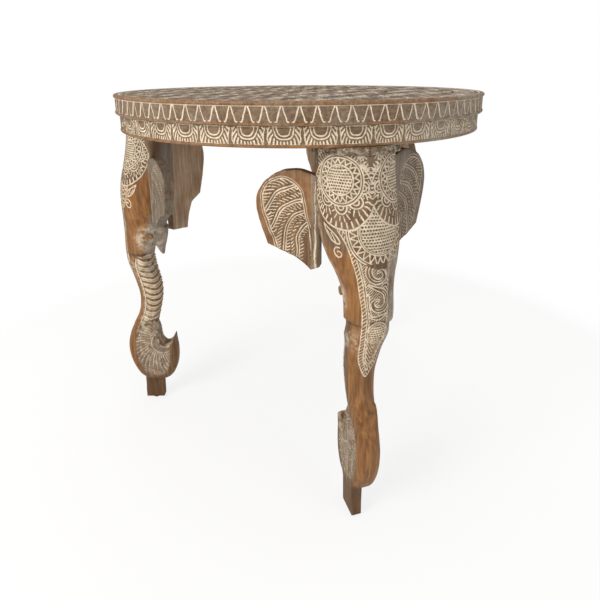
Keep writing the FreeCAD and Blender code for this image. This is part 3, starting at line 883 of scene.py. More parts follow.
def build_apron(settings):
    """The six segments of the apron."""
    material = limed_wood("limed apron", settings.looks, (120.0, 120.0, 420.0), grey=0.12, right_grey=0.75,
                          whitewash=0.05)
    per_segment = max(1, settings.apron.motifs // SEGMENTS)
    pitch = 2 * math.pi * APRON_BEAD / (per_segment * SEGMENTS)
    points, faces, values, rows = apron_tile(pitch)
    mesh = bpy.data.meshes.new("apron tile")
    fill_mesh(mesh, points, [faces], values)
    tile = new_object("apron tile", mesh)
    row = bent_row_tree()
    ends = points.reshape(rows, -1, 3)[:, 0]
    far = ends.copy()
    far[:, 0] = per_segment * pitch
    for number in range(SEGMENTS):
        caps = bpy.data.meshes.new("apron caps")
        fill_mesh(caps, np.concatenate([ends, far]), [[list(range(rows)), list(range(rows, 2 * rows))]],
                  {"lime": np.zeros(2 * rows)})
        name = "apron_%d_carved" % (number + 1)
        out = bent_row(name, row, caps, tile, per_segment, per_segment * SEGMENTS, pitch,
                       math.radians(FIRST_JOINT + number * 360.0 / SEGMENTS), settings.apron.unsteady, material)
        outward(out)
        thing = finished(name, out, material, 0.0, 50.0)
        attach(thing, "root")
        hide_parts("apron_segment_%d" % (number + 1))
    bpy.data.objects.remove(tile)


# Legs

def trunk_sizes(z):
    """Front reach, back reach and half width of head and trunk at each height."""
    z = np.clip(z, BODY_HEIGHTS[0], BODY_HEIGHTS[-1])
    return tuple(natural(BODY_HEIGHTS, values, z) for values in (FRONTS, BACKS, HALF_WIDTHS))


def bow_of(z, bow):
    """How far aside the trunk stands at each height."""
    return bow * natural(BODY_HEIGHTS, BOW_SHARES, np.clip(z, BODY_HEIGHTS[0], BODY_HEIGHTS[-1]))


def trunk_skin(bow):
    """A closed skin of head and trunk, upright, with its face along X."""
    heights = np.concatenate([np.arange(BODY_HEIGHTS[0], LEG_TOP, 1.6), [LEG_TOP]])
    front, back, half = trunk_sizes(heights)
    angle = np.linspace(0.0, 2 * math.pi, TRUNK_POINTS, endpoint=False)
    along, across = np.cos(angle)[None, :], np.sin(angle)[None, :]
    square = (1.0 - 0.28 * step(heights / LEG_TOP, 0.622, 0.675))[:, None]
    centre, half, back = (front - half)[:, None], half[:, None], back[:, None]
    ahead = np.clip(along, 0.0, None)
    behind = np.clip(-along, 0.0, None)
    x = centre + half * ahead - (centre - back) * behind ** square
    y = half * np.where(along >= 0, across, np.sign(across) * np.abs(across) ** square)
    z = spread(heights, TRUNK_POINTS)
    return prism(np.stack([x, y + bow_of(z, bow), z], axis=-1))


def prism(layers):
    """A closed skin through outlines of equal length, laid one above another."""
    count = len(layers[0])
    points = np.concatenate(layers)
    last = len(points) - count
    return points, [grid_faces(len(layers), count, True), [list(range(count))[::-1], list(range(last, last + count))]]


def lip_skin(bow):
    """The lower lip, a small cone behind the trunk."""
    angle = np.linspace(0.0, 2 * math.pi, LIP_POINTS, endpoint=False)
    layers = []
    for share in np.linspace(LIP_SHARES[0], LIP_SHARES[-1], 14):
        front, back, half = (natural(np.array(LIP_SHARES), np.array(sizes), np.array([share]))[0]
                             for sizes in (LIP_FRONTS, LIP_BACKS, LIP_HALVES))
        layers.append(np.stack([(front + back) / 2 + (front - back) / 2 * np.cos(angle), bow + half * np.sin(angle),
                                np.full(LIP_POINTS, share * LEG_TOP)], axis=1))
    return prism(layers)


def curl_outline():
    """The outer edge and the notch of the curl."""
    return spline(CURL_OUTER, 90), spline(CURL_NOTCH, 34)


def curl_skin():
    """The rolled end of the trunk: a flat crescent with its outer edge rounded."""
    outer, notch = curl_outline()
    outline = np.concatenate([outer, notch])
    ahead = np.roll(outline, -1, axis=0) - np.roll(outline, 1, axis=0)
    length = np.hypot(ahead[:, 0], ahead[:, 1])
    inward = np.stack([-ahead[:, 1], ahead[:, 0]], axis=1) / length[:, None]
    area = np.sum(outline[:, 0] * np.roll(outline[:, 1], -1) - np.roll(outline[:, 0], -1) * outline[:, 1])
    inward *= np.sign(area)
    weight = np.zeros(len(outline))
    weight[:len(outer)] = step(np.arange(len(outer)), 0, 14)
    weight[len(outer) - 6:len(outer)] *= np.linspace(1.0, 0.2, 6)
    layers = []
    for side in np.concatenate([-CURL_EDGE_LAYERS[::-1], np.linspace(-4.0, 4.0, 6), CURL_EDGE_LAYERS]):
        rise = max(0.0, abs(side) - (CURL_HALF - CURL_ROUND))
        inset = CURL_ROUND - math.sqrt(max(0.0, CURL_ROUND ** 2 - rise ** 2))
        place = outline + inward * (inset * weight)[:, None]
        layers.append(np.stack([place[:, 0], np.full(len(place), side), place[:, 1]], axis=1))
    return prism(layers)


def block_skin(layers):
    """A closed skin through upright layers, each a rectangle given as its lowest and highest x and y, and z."""
    return prism([np.array([(x0, y0, z), (x1, y0, z), (x1, y1, z), (x0, y1, z)]) for x0, x1, y0, y1, z in layers])


def leg_mesh(name, bow, foot_side, voxel):
    """One skin for head, trunk, lip, curl, foot and tenon."""
    foot = [(low, high, foot_side - half, foot_side + half, z) for low, high, half, z in FOOT_LAYERS]
    shape = bmesh.new()
    for points, faces in (trunk_skin(bow), lip_skin(bow), curl_skin(), block_skin(foot),
                          block_skin([(*TENON, z) for z in TENON_HEIGHTS])):
        part = bpy.data.meshes.new("part")
        fill_mesh(part, points, faces, {})
        shape.from_mesh(part)
        bpy.data.meshes.remove(part)
    bmesh.ops.recalc_face_normals(shape, faces=shape.faces)
    rough = bpy.data.meshes.new(name)
    shape.to_mesh(rough)
    shape.free()
    mesh = modified(name, rough, "REMESH", mode="VOXEL", voxel_size=voxel * MM)
    bpy.data.meshes.remove(rough)
    mesh.name = name
    return mesh


def finer(mesh, bow):
    """Split the faces under the fine carving once more."""
    shape = bmesh.new()
    shape.from_mesh(mesh)
    flat = np.array([face.calc_center_median()[:] for face in shape.faces]) / MM
    carved = carved_zone(flat, bow)
    chosen = {edge for face, take in zip(shape.faces, carved) if take for edge in face.edges}
    bmesh.ops.subdivide_edges(shape, edges=list(chosen), cuts=1, use_grid_fill=True)
    shape.to_mesh(mesh)
    shape.free()


def thinned(mesh, most):
    """The mesh with fewer faces, mainly where it is plain, so that it holds no more than so many triangles."""
    count = len(mesh.loops) - 2 * len(mesh.polygons)
    return mesh if count <= most else modified(mesh.name, mesh, "DECIMATE", ratio=most / count)


def face_places(points, bow):
    """The length round the face from its middle line, the height, and the turn from the front."""
    z = points[:, 2]
    front, _, half = trunk_sizes(z)
    turn = np.arctan2(points[:, 1] - bow_of(z, bow), points[:, 0] - (front - half))
    return half * turn, z, turn


def on_curl(z):
    """Whether heights lie in the carved part of the curl."""
    return (z > CURL_FIELD[0]) & (z < CURL_FIELD[1])


def carved_zone(points, bow):
    """Whether places lie under the fine carving."""
    u, z, turn = face_places(points, bow)
    head = (z > STRIP_TOP) & (np.abs(u) < 74.0) & (points[:, 0] > 214.0) & (z < 459.0)
    strip = (z > 198.0) & (z <= STRIP_TOP) & (np.abs(u) < 28.0) & (points[:, 0] > 235.0)
    ribs = (z > 146.0) & (z < 264.0) & (np.abs(turn) > 1.15)
    field = on_curl(z) & (np.abs(points[:, 1]) > 14.3)
    return head | strip | ribs | field


def head_cuts(u, z):
    """Cuts of the carved face, from the apron down to the trunk."""
    au = np.abs(u)
    d_round = away(au, z, MEDALLION)
    d_petal = away(au, z, PETAL_DISC)
    d_low = away(u, z, LOW_DISC)
    medallion = merge(rings(d_round, (26.0, 1.2), (23.2, 1.0), (15.6, 1.1)),
                      teeth_cut(au, z, MEDALLION, 16.8, 22.2, 20, 1.05), dots_cut(au, z, MEDALLION, 14.3, 3.1))
    lower = merge(rings(d_low, (38.0, 1.15), (35.4, 0.9), (25.3, 1.0), (23.2, 0.85)),
                  teeth_cut(u, z, LOW_DISC, 26.4, 34.6, 26, 1.05, 0.25), dots_cut(u, z, LOW_DISC, 22.0, 3.3))

    border = groove(d_petal - PETAL_RADIUS, 1.25)
    crescent = border
    turn = np.degrees(np.arctan2(z - MEDALLION[1], au - MEDALLION[0]))
    for where in HALF_FLOWERS:
        room = 8.8 if -140 < where < -40 else 7.2
        cu = MEDALLION[0] + 27.0 * math.cos(math.radians(where))
        cz = MEDALLION[1] + 27.0 * math.sin(math.radians(where))
        d = away(au, z, (cu, cz))
        rays = spokes(np.arctan2(z - cz, au - cu), d, 14, 0.95) * between(d, room, room * 1.7, 0.3)
        flower = merge(rings(d, (room * 0.36, 1.05), (room * 0.8, 1.2)), rays, border)
        crescent = np.where((d < room * 1.85) & (np.abs(turn - where) < 18.8), flower, crescent)
    filler = groove(saw(turn / 8.0) * 4.0, 0.9) * between(d_petal, 27.0, 35.4, 0.3)
    crescent = np.where(crescent > 0.02, crescent, filler * (d_petal > 28.5))

    top = np.zeros(u.shape)
    for cu, cz, room in BLOOMS:
        d = away(au, z, (cu, cz))
        rays = spokes(np.arctan2(z - cz, au - cu), d, 11, 0.95) * between(d, room * 0.75, room * 1.4, 0.3)
        top = np.where(d < room * 1.45, merge(rings(d, (1.9, 0.9), (room * 0.62, 1.0)), rays), top)
    comb = groove(saw(turn / 7.0) * 3.7, 0.95) * between(d_round, 27.4, 36.0, 0.3)
    top = np.where(top > 0.02, top, comb)

    cuts = np.where(z > 404.0, top * (au < 64.0), 0.0)
    for reach, radius, pattern in ((d_low, 39.2, lower), (d_petal, 37.8, crescent), (d_round, 27.0, medallion)):
        cuts = np.where(reach < radius, pattern, cuts)
    eye = merge(line_cut(-au, z, spline(EYE, 34), 1.25), line_cut(-au, z, scroll(EYE_SCROLL, 75.0, 7.5, 1.15), 1.25),
                *(line_cut(-au, z, line, 1.0) for line in EYE_STROKES))
    return merge(cuts, eye * ((d_petal > 38.5) & (d_low > 39.8)))


def strip_cuts(u, z):
    """Cuts of the narrow field that runs down the trunk between two ropes."""
    left = spline(ROPE, 60)
    au = -np.abs(u)
    gap = near(au, z, left)[0]
    inside = (np.abs(u) < np.interp(z, left[::-1, 1], -left[::-1, 0])) & (z > 199.0) & (z < 352.0)

    leaves = np.zeros(u.shape)
    taken = np.zeros(u.shape, bool)
    for line, broad in STRIP_LEAVES:
        points = spline(line, 50)
        apart, _, walked = near(u, z, points)
        share = walked / np.hypot(*np.diff(points, axis=0).T).sum()
        half = broad * np.sin(math.pi * np.clip(share, 0.04, 0.96)) ** 0.6
        leaf = merge(groove(apart - half, 1.0), groove(apart, 0.7) * (half > 2.6) * between(share, 0.12, 0.8, 0.05))
        leaves = np.where(taken, leaves, np.where(apart < half + 1.0, leaf, leaves))
        taken |= apart < half + 1.0
    hatch = stripes(z + 1.2 * np.abs(u), 3.4, 0.9)
    field = np.where(taken, leaves, hatch) * inside * (gap > 5.6) * (z > 272.0)

    d_small = away(u, z, SMALL_DISC)
    small = merge(rings(d_small, (13.0, 1.0), (10.7, 0.8)), dots_cut(u, z, SMALL_DISC, 9.6, 3.0))
    field = np.where(d_small < 13.9, small, field)
    below = stripes(z - 1.5 * np.abs(u), 4.4, 1.1) * inside * (z < 250.0) * (gap > 3.2) * (d_small > 14.2)
    cuts = merge(rope_cut(au, z, left, 2.7, 4.3, 0.95), groove(gap - 5.0, 0.9) * inside, field, below)
    return cuts * (away(u, z, LOW_DISC) > 39.8)


def rib_cuts(turn, z, start):
    """Pale double lines round the inner side of the trunk, their border, and where the rib between them rises."""
    around = np.abs(turn)
    back = np.clip((around - start) / 1.9, 0.0, 1.0)
    phase = (z + 6.5 * np.sin(math.pi * back)) / RIB_PITCH
    inside = step(around, start, start + 0.08) * between(z, *RIB_ZONE, 1.5)
    lines = merge(groove(saw(phase) * RIB_PITCH, 2.1), groove(saw(phase + 0.34) * RIB_PITCH, 1.5)) * inside
    border = groove((around - start + 0.06) * 20.0, 1.4) * between(z, 146.0, 258.0, 2.0)
    return lines, border, saw(phase), inside


def curl_field(points):
    """The carved field of the curl's flat sides, its petals, and the distances to its rim and notch."""
    outer, notch = curl_outline()
    x, z = points[:, 0], points[:, 2]
    rim = near(x, z, outer)[0]
    notch_gap = near(x, z, notch)[0]
    flat = step(np.abs(points[:, 1]), 12.6, 14.2)
    inside = step(rim, 11.0, 13.5) * step(notch_gap, 2.0, 3.5) * flat * on_curl(z)
    reach = away(x, z, CURL_EYE)
    swirl = np.arctan2(z - CURL_EYE[1], x - CURL_EYE[0]) * CURL_FANS / math.pi + reach * 0.06
    fan = groove(saw(swirl) * reach * math.pi / CURL_FANS, 0.8) * between(reach, 16.0, 80.0)
    arcs = merge(groove(reach - 18.0, 0.9), groove(reach - 38.0 - 2.0 * np.cos(swirl * 2 * math.pi), 0.95))
    fine = groove(saw(reach / 3.3 + saw(swirl) * 1.2) * 3.3, 0.7) * (saw(swirl) < 0.33) * (reach > 20.0)
    return inside, merge(fan, arcs, fine * 0.8) * inside, rim, flat, notch_gap


def carve_leg(mesh, name, bow, depth):
    """Cut the patterns into a leg and mark where lime, polish, greying, whitewash and darkening lie: painted shade in
    the notch round the trunk, a darker foot and a dark line along the curl's rounded edge.
    """
    points = positions(mesh)
    facing = read_vectors(mesh, "normal")
    u, z, turn = face_places(points, bow)
    around = np.abs(turn)
    is_front = name == "front_leg"
    su = u + 0.55 * wobble(u, z, 26.0, 11)
    sz = z + 0.55 * wobble(u, z, 24.0, 12)

    head = head_cuts(su, sz) * (z > 340.0) * (points[:, 0] > 210.0) * (around < 1.9) * (1.0 - step(z, 455.5, 457.5))
    strip = strip_cuts(su, sz) * (z < 378.0) * (z > 196.0) * (points[:, 0] > 232.0) * (around < 1.5)
    ribs, border, phase, rib_zone = rib_cuts(turn + 0.02 * wobble(u, z, 30.0, 4), z + 0.5 * wobble(u, z, 30.0, 5),
                                             RIB_START[name])
    border = border * (z > 146.0)
    inside, petals, rim, flat, notch_gap = curl_field(points)

    ledge = step(-z, -267.5, -266.5) * step(z, 246.0, 262.0) * step(around, 0.55, 0.75) \
        * (1.0 - step(around, 2.2, 2.4))
    inward = depth * merge(head, strip, petals * 0.6) + 1.5 * ribs + 0.7 * border + 0.9 * inside + 2.8 * ledge
    inward = inward + rib_zone * 0.9 * (1.0 - (2 * phase) ** 2) * -0.6 + rib_zone * 0.6
    inward = inward + 0.22 * (wobble(u * 1.6, z * 0.3, 12.0, 21) * 0.5 + 0.5) * (z > 52.0)
    put_positions(mesh, points - facing * inward[:, None])

    carved = step(merge(head, strip), 0.02, 0.3)
    decorated = (np.abs(u) < 66.0) & (z > 343.0) & (away(np.abs(u), z, PETAL_DISC) < 38.5)
    right = step(u, 11.5, 15.5) * between(z, 214.0, 350.0, 6.0) * is_front
    cheek = step(around, 0.45, 0.6) * (1.0 - step(around, 1.86, 2.0)) * (1 - decorated) * (1.0 - right) \
        * between(z, 268.0, 352.0 if is_front else 396.0, 6.0)
    lower = (1.0 - step(z, 262.0, 272.0)) * step(z, 44.0, 60.0)
    plain_front = lower * (1.0 - step(around, 1.1, 1.25)) * (1.0 - inside) * (1.0 - carved)
    curl_edge = 0.35 * (1.0 - flat) * on_curl(z)
    warm = merge(cheek, plain_front * 0.9, 0.6 * rib_zone, 0.45 * (z < 44.0), curl_edge) * (1.0 - 0.85 * right)
    streaks = 0.5 + 0.5 * wobble(u * 2.2, z * 0.16, 9.0, 77)
    side_washes = [0.45 * between(around, 1.5, 2.3, 0.12) * between(z, 322.0, 420.0, 8.0)] if is_front else [
        0.6 * between(around, 1.2, 2.2, 0.15) * between(z, 128.0, 172.0, 6.0),
        0.42 * between(around, 1.0, 1.3, 0.1) * between(z, 150.0, 258.0, 6.0)]
    tusk = away(points[:, 0], z, TUSK)
    values = {
        "lime": merge(head * 1.15, strip * 1.15 * (1.0 - 0.75 * right), ribs * 1.3, petals * 0.48, border),
        "warm": warm,
        "grey": step(around, 1.86, 2.05) * (z > 262.0) * 0.85 + 0.25 * (z > 440.0) + 0.9 * right + 0.3 * inside,
        "wash": merge(0.16 * inside + 0.12 * rib_zone + 0.55 * right * streaks, *side_washes,
                      0.7 * (notch_gap < 2.0) * (z > 98.0) * (z < 150.0),
                      0.8 * (1.0 - step(tusk, 14.0, 30.0)) * (around > 0.9),
                      0.5 * step(-z, -262.0, -250.0) * step(z, 226.0, 240.0) * step(around, 0.6, 0.8)),
        # Painted shade in the notch under the step at about 265 mm; the foot darker below about 45 mm; a dark line
        # along the rounded edge of the curl.
        "shade": merge(0.75 * groove(z - 265.0, 2.4) * step(around, 0.5, 0.7) * (around < 1.9),
                       0.55 * (1.0 - step(z, 40.0, 47.0)),
                       0.35 * groove(rim - 7.8, 1.4) * flat * on_curl(z)),
    }
    for key, value in values.items():
        set_value(mesh, key, value)


def stand(mesh, angle):
    """Turn a mesh about the axis of the top to its own angle, and move it to where that axis stands."""
    x, y, z = positions(mesh).T
    turn = math.radians(angle)
    c, s = math.cos(turn), math.sin(turn)
    put_positions(mesh, np.stack([x * c - y * s + AXIS[0], x * s + y * c + AXIS[1], z], axis=1))
    mesh.update()


def build_legs(settings):
    """The three legs."""
    material = limed_wood("limed leg", settings.looks, (260.0, 260.0, 22.0), grey=0.02, right_grey=0.1, paler=0.84)
    for name, (angle, bow, foot_side, _) in LEGS.items():
        mesh = leg_mesh(name + "_carved", bow, foot_side, settings.legs.voxel)
        finer(mesh, bow)
        carve_leg(mesh, name, bow, settings.legs.depth)
        mesh = thinned(mesh, LEG_TRIANGLES)
        thing = finished(name + "_carved", mesh, material, angle, 60.0)
        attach(thing, "root")
        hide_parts(name)


# Ears

def ear_outline(ear):
    """The outline of an ear board, as out from the head and down from the apron."""
    width, crown, low, tip = ear
    stretch = (low - crown) / (EAR_CORNER[1] - EAR_CROWN)

    def fitted(out, drop):
        return out * width, crown + (drop - EAR_CROWN) * stretch

    start = (EAR_INNER, fitted(0.0, EAR_ROOT_DROP)[1])
    top = [start] + [fitted(*place) for place in EAR_TOP]
    corner = fitted(*EAR_CORNER)
    bend = ((corner[0] + tip[0]) / 2, corner[1] + (tip[1] - corner[1]) * 0.35)
    foot = (EAR_INNER, tip[1] - EAR_BLUNT)
    runs = [spline(top, 200), spline([top[-1], corner], 30), spline([corner, bend, tip], 60), spline([tip, foot], 20),
            spline([foot, start], 120)]
    full = np.concatenate([run[:-1] for run in runs])
    full = np.concatenate([full, full[:1]])
    walk = np.concatenate(([0.0], np.cumsum(np.hypot(*np.diff(full, axis=0).T))))
    even = np.linspace(0.0, walk[-1], EAR_POINTS, endpoint=False)
    return np.stack([np.interp(even, walk, full[:, axis]) for axis in (0, 1)], axis=1)


def ear_cuts(out, drop):
    """Cuts of the carved side of an ear, and where its carved field lies."""
    d_field = near(out, drop, spline(EAR_FIELD, 90))[0]
    inside = np.zeros(out.shape, bool)
    for (ax, ay), (bx, by) in zip(EAR_FIELD, EAR_FIELD[1:] + EAR_FIELD[:1]):
        inside ^= ((ay > drop) != (by > drop)) & (out < (bx - ax) * (drop - ay) / (by - ay + 1e-9) + ax)
    inside |= (drop > 130.0) & (out > 2.5) & (out < 60.0)
    cuts = merge(groove(d_field, 1.0), groove(d_field - 2.8, 0.75) * ~inside) * (drop < 134.0)
    cuts = merge(cuts, groove(out - 2.8, 0.9) * (drop >= 130.0))
    field = np.zeros(out.shape)
    taken = np.full(out.shape, 1e9)
    for vein in EAR_VEINS:
        gap, flank, along = near(out, drop, spline(vein, 24))
        above = stripes(along + 0.9 * np.abs(flank), EAR_STROKE_PITCH, 1.1) * step(gap, 4.2, 5.2) * (gap < 19.0)
        below = stripes(along - 0.7 * np.abs(flank), EAR_STROKE_PITCH, 1.0) * step(gap, 2.4, 3.0) \
            * (1.0 - step(gap, 7.0, 8.0))
        mine = gap < taken
        field = np.where(mine, merge(groove(gap - 1.6, 1.1), np.where(flank > 0, above, below * 0.9)), field)
        taken = np.where(mine, gap, taken)
    return np.where(inside & (d_field > 0.9), merge(field, groove(d_field, 1.0)), cuts), inside


def ear_mesh(name, side, ear, rings_across, weathered_and_shaded):
    """A closed board: carved front, tool-marked edge and plain back."""
    width, crown, low_corner, _ = ear
    stretch = (low_corner - crown) / (EAR_CORNER[1] - EAR_CROWN)
    outline = ear_outline(ear)
    middle = np.array([EAR_MIDDLE[0] * width, crown + (EAR_MIDDLE[1] - EAR_CROWN) * stretch])

    def shrunk(share):
        return middle + (outline - middle) * share * (1.0 - EAR_SHY)

    layers = [(shrunk(share), EAR_HALF, "face") for share in np.linspace(0.0, 1.0, rings_across + 1)[1:] ** 0.92]
    layers += [(outline, level, "wall") for level in np.linspace(EAR_HALF - 1.0, 1.0 - EAR_HALF, 8)]
    layers += [(shrunk(share), -EAR_HALF, "back") for share in np.linspace(1.0, 0.06, 16)]
    out, drop = np.concatenate([layer[0] for layer in layers]).T
    level = np.repeat([layer[1] for layer in layers], EAR_POINTS)
    kind = np.repeat([layer[2] for layer in layers], EAR_POINTS)
    face, wall, backs = kind == "face", kind == "wall", kind == "back"
    rim, _, along = near(out, drop, np.concatenate([outline, outline[:1]])[::2])
    stray_out = out + 0.6 * wobble(out, drop, 24.0, 31 + (side > 0))
    stray_drop = drop + 0.6 * wobble(out, drop, 26.0, 41 + (side > 0))
    cuts, inside = ear_cuts(stray_out / width, EAR_CROWN + (stray_drop - crown) / stretch)
    cuts = cuts * face * step(rim, 0.6, 1.4)
    chisel = 0.35 * (0.5 + 0.5 * wobble(out, drop * 0.12, 11.0, 5))
    level = level - face * (0.9 * cuts + 0.35 * inside + 0.9 * (1.0 - step(rim, 0.0, 2.6)))
    level = level + backs * (chisel + 0.7 * (1.0 - step(rim, 0.0, 2.0)))
    marks = 0.35 * (0.5 + 0.5 * np.sin(along * 0.42 + 1.3 * np.sin(along * 0.11))) * (wall & (out > 2.0))
    inward = middle - np.stack([out, drop], axis=1)
    inward /= np.linalg.norm(inward, axis=1)[:, None]
    out, drop = out + inward[:, 0] * marks, drop + inward[:, 1] * marks
    sweep = math.radians(EAR_SWEEP)

    def placed(out, drop, level):
        x = EAR_ROOT[0] - math.sin(sweep) * out + math.cos(sweep) * level
        y = side * (EAR_ROOT[1] + math.cos(sweep) * out + math.sin(sweep) * level)
        return np.stack([x, y, LEG_TOP - drop], axis=1)

    centres = placed(np.full(2, middle[0]), np.full(2, middle[1]), np.array([EAR_HALF, -EAR_HALF]))
    points = np.concatenate([placed(out, drop, level), centres])
    low = len(points) - 2
    start = low - EAR_POINTS
    fans = [[((j + 1) % EAR_POINTS, j, low) for j in range(EAR_POINTS)],
            [(start + j, start + (j + 1) % EAR_POINTS, low + 1) for j in range(EAR_POINTS)]]
    plain_rim = face & ~inside
    root = face & (out < 2.0)
    seam = out + 3.4 - 0.5 * wobble(out * 0.2, drop, 34.0, 61) - 0.3 * wobble(out, drop, 7.0, 62)
    joint = groove(seam, 1.2 + 1.5 * step(drop, 80.0, 130.0)) * (drop > 40.0)
    values = {
        "lime": np.where(root, joint * 0.5, cuts),
        # The share given for this ear greys it and takes its orange away, as weathering, and darkens it, as painted
        # shade of an ear in shadow.
        "warm": (plain_rim * (0.72 - 0.5 * (out < 2.0)) + 0.45 * wall + 0.2 * (inside & face)) * (1.0 - 0.8 * weathered_and_shaded),
        "grey": 0.35 * backs + 0.15 * (face & (drop < 38.0)) + 0.4 * root + 0.65 * weathered_and_shaded,
        "wash": 0.05 * backs + 0.14 * wall + 0.07 * plain_rim,
        # Painted light: the backs, which lie in shade under the top, are brightened.
        "faded": 0.85 * backs,
        # Painted shade: the backs darker towards the top, in the shade under the apron; the carved side darker where it
        # lies behind the head.
        "shade": np.where(backs, 0.12 * step(-drop, -48.0, -24.0),
                          0.45 * weathered_and_shaded + 0.4 * face * (1.0 - step(out, -5.4, -4.2))),
    }
    mesh = bpy.data.meshes.new(name)
    fill_mesh(mesh, points, [grid_faces(len(layers), EAR_POINTS, True), *fans],
              {key: np.concatenate([value, value[:1], value[-1:]]) for key, value in values.items()})
    outward(mesh)
    return mesh


def build_ears(settings):
    """The six ear boards."""
    material = limed_wood("limed ear", settings.looks, (300.0, 300.0, 18.0), grey=0.02, right_grey=0.35, paler=0.9)
    for name, (angle, _, _, ears) in LEGS.items():
        for number, side in ((1, -1.0), (2, 1.0)):
            key = "%s_ear_%d" % (name, number)
            mesh = ear_mesh(key + "_carved", side, ears[number - 1], settings.ears.rings, WEATHERED_AND_SHADED_EARS.get(key, 0.0))
            thing = finished(key + "_carved", mesh, material, angle, 45.0)
            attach(thing, "root")
            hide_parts(key)


# Small parts

def build_paste(settings):
    """The paste over the joints, as a rough, uneven ridge."""
    material = paste_material(settings.looks)
    for leg in LEGS:
        node = leg + "_filler"
        source = next(thing for thing in bpy.data.objects if thing.type == "MESH" and thing.name.endswith(node))
        whole = evaluated(source)
        whole.transform(source.matrix_world)
        mesh = modified(node + " carrier", whole, "REMESH", mode="VOXEL", voxel_size=PASTE_VOXEL * MM)
        points, facing = positions(mesh), read_vectors(mesh, "normal")
        x, y, z = points.T
        round_it = away(x, y, AXIS)
        along = np.arctan2(y - AXIS[1], x - AXIS[0]) * 240.0
        lump = 0.5 + 0.5 * wobble(along, z * 1.4 + round_it * 0.6, 13.0, 91)
        crumb = 0.5 + 0.5 * wobble(along, z * 1.2 - round_it * 0.8, 5.0, 92)
        free = 1.0 - step(facing[:, 2], 0.3, 0.7)
        amount = (0.3 + 2.6 * lump + 1.1 * crumb + 2.2 * lump * step(-facing[:, 2], 0.2, 0.7)) * free
        put_positions(mesh, points - facing * amount[:, None])
        mesh.update()
        mesh.materials.clear()
        mesh.materials.append(material)
        smooth_faces(mesh, 60.0)
        thing = new_object(node + "_rough", mesh)
        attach(thing, "root")
        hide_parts(node)


def build_details(settings):
    """The paste is made anew; tusk stubs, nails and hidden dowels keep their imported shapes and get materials."""
    looks = settings.looks
    build_paste(settings)
    stub = limed_wood("tusk stub", looks, (420.0, 420.0, 420.0), plain=0.2, whitewash=0.25)
    dowel = limed_wood("dowel wood", looks, (300.0, 300.0, 60.0), plain=0.6)
    endings = (("foot_nails", iron_material()), ("_tusk_1", stub), ("_tusk_2", stub), ("_dowels", dowel))
    for thing in bpy.data.objects:
        for ending, material in endings:
            if thing.type == "MESH" and thing.name.endswith(ending):
                if not thing.material_slots:
                    thing.data.materials.append(material)
                for slot in thing.material_slots:
                    slot.material = material


# Stage

def build_stage(settings):
    """The camera, the floor, the world and the lamps."""
    stage = settings.stage
    scene = bpy.context.scene
    lens = bpy.data.cameras.new("camera")
    lens.sensor_width = SENSOR
    lens.lens = stage.lens
    lens.shift_y = stage.shift
    camera = bpy.data.objects.new("camera", lens)
    camera.location = CAMERA_PLACE
    pitch, turn = stage.pitch, math.radians(CAMERA_TURN)
    look = Vector((-math.sin(turn) * math.cos(pitch), math.cos(turn) * math.cos(pitch), -math.sin(pitch)))
    level = look.to_track_quat("-Z", "Y").to_matrix()
    camera.rotation_euler = (level @ Matrix.Rotation(stage.roll, 3, "Z")).to_euler()
    scene.collection.objects.link(camera)
    scene.camera = camera
    scene.view_settings.view_transform = "Standard"

    floor_mesh = bpy.data.meshes.new("floor")
    corners = [(x * FLOOR_HALF, y * FLOOR_HALF, 0) for x, y in ((-1, -1), (1, -1), (1, 1), (-1, 1))]
    floor_mesh.from_pydata(corners, [], [(0, 1, 2, 3)])
    floor = new_object("floor", floor_mesh)
    floor_mesh.materials.append(floor_material())

    scene.world = bpy.data.worlds.new("studio")
    scene.world.use_nodes = True
    w = Nodes(scene.world.node_tree)
    seen = w.node("ShaderNodeLightPath").outputs["Is Camera Ray"]
    white = w.node("ShaderNodeBackground", {0: (1.0, 1.0, 1.0, 1.0), 1: 1.0}).outputs[0]
    fill = w.node("ShaderNodeBackground", {0: (1.0, 0.985, 0.96, 1.0), 1: stage.fill}).outputs[0]
    mixed = w.node("ShaderNodeMixShader", {0: seen, 1: fill, 2: white}).outputs[0]
    w.node("ShaderNodeOutputWorld", {0: mixed})

    for name, place, size, share, colour in LAMPS:
        light = bpy.data.lights.new(name, "AREA")
        light.shape = "DISK"
        light.size = size
        light.energy = stage.key * share
        light.color = colour
        thing = bpy.data.objects.new(name, light)
        thing.location = place
        thing.rotation_euler = (Vector(LAMP_AIM) - Vector(place)).to_track_quat("-Z", "Y").to_euler()
        scene.collection.objects.link(thing)


def floor_material():
    """A pale floor that keeps the shadow, is white further off, and is clear when seen from below."""
    s = Shader("pale floor")
    reach = s.node("ShaderNodeVectorMath", {0: s.place()}, operation="LENGTH").outputs["Value"]
    seen = s.node("ShaderNodeLightPath").outputs["Is Camera Ray"]
    bright = s.node("ShaderNodeEmission", {"Color": (1.0, 1.0, 1.0, 1.0), "Strength": 1.0}).outputs[0]
    matt = s.node("ShaderNodeBsdfDiffuse", {"Color": (0.86, 0.86, 0.86, 1.0)}).outputs[0]
    share = s.times(s.math("MAXIMUM", s.soft(reach, 0.32, 0.75), 0.8), seen)
    mixed = s.node("ShaderNodeMixShader", {0: share, 1: matt, 2: bright}).outputs[0]
    below = s.node("ShaderNodeNewGeometry").outputs["Backfacing"]
    clear = s.node("ShaderNodeBsdfTransparent").outputs[0]
    shown = s.node("ShaderNodeMixShader", {0: below, 1: mixed, 2: clear}).outputs[0]
    s.node("ShaderNodeOutputMaterial", {"Surface": shown})
    return s.material


# Add-on

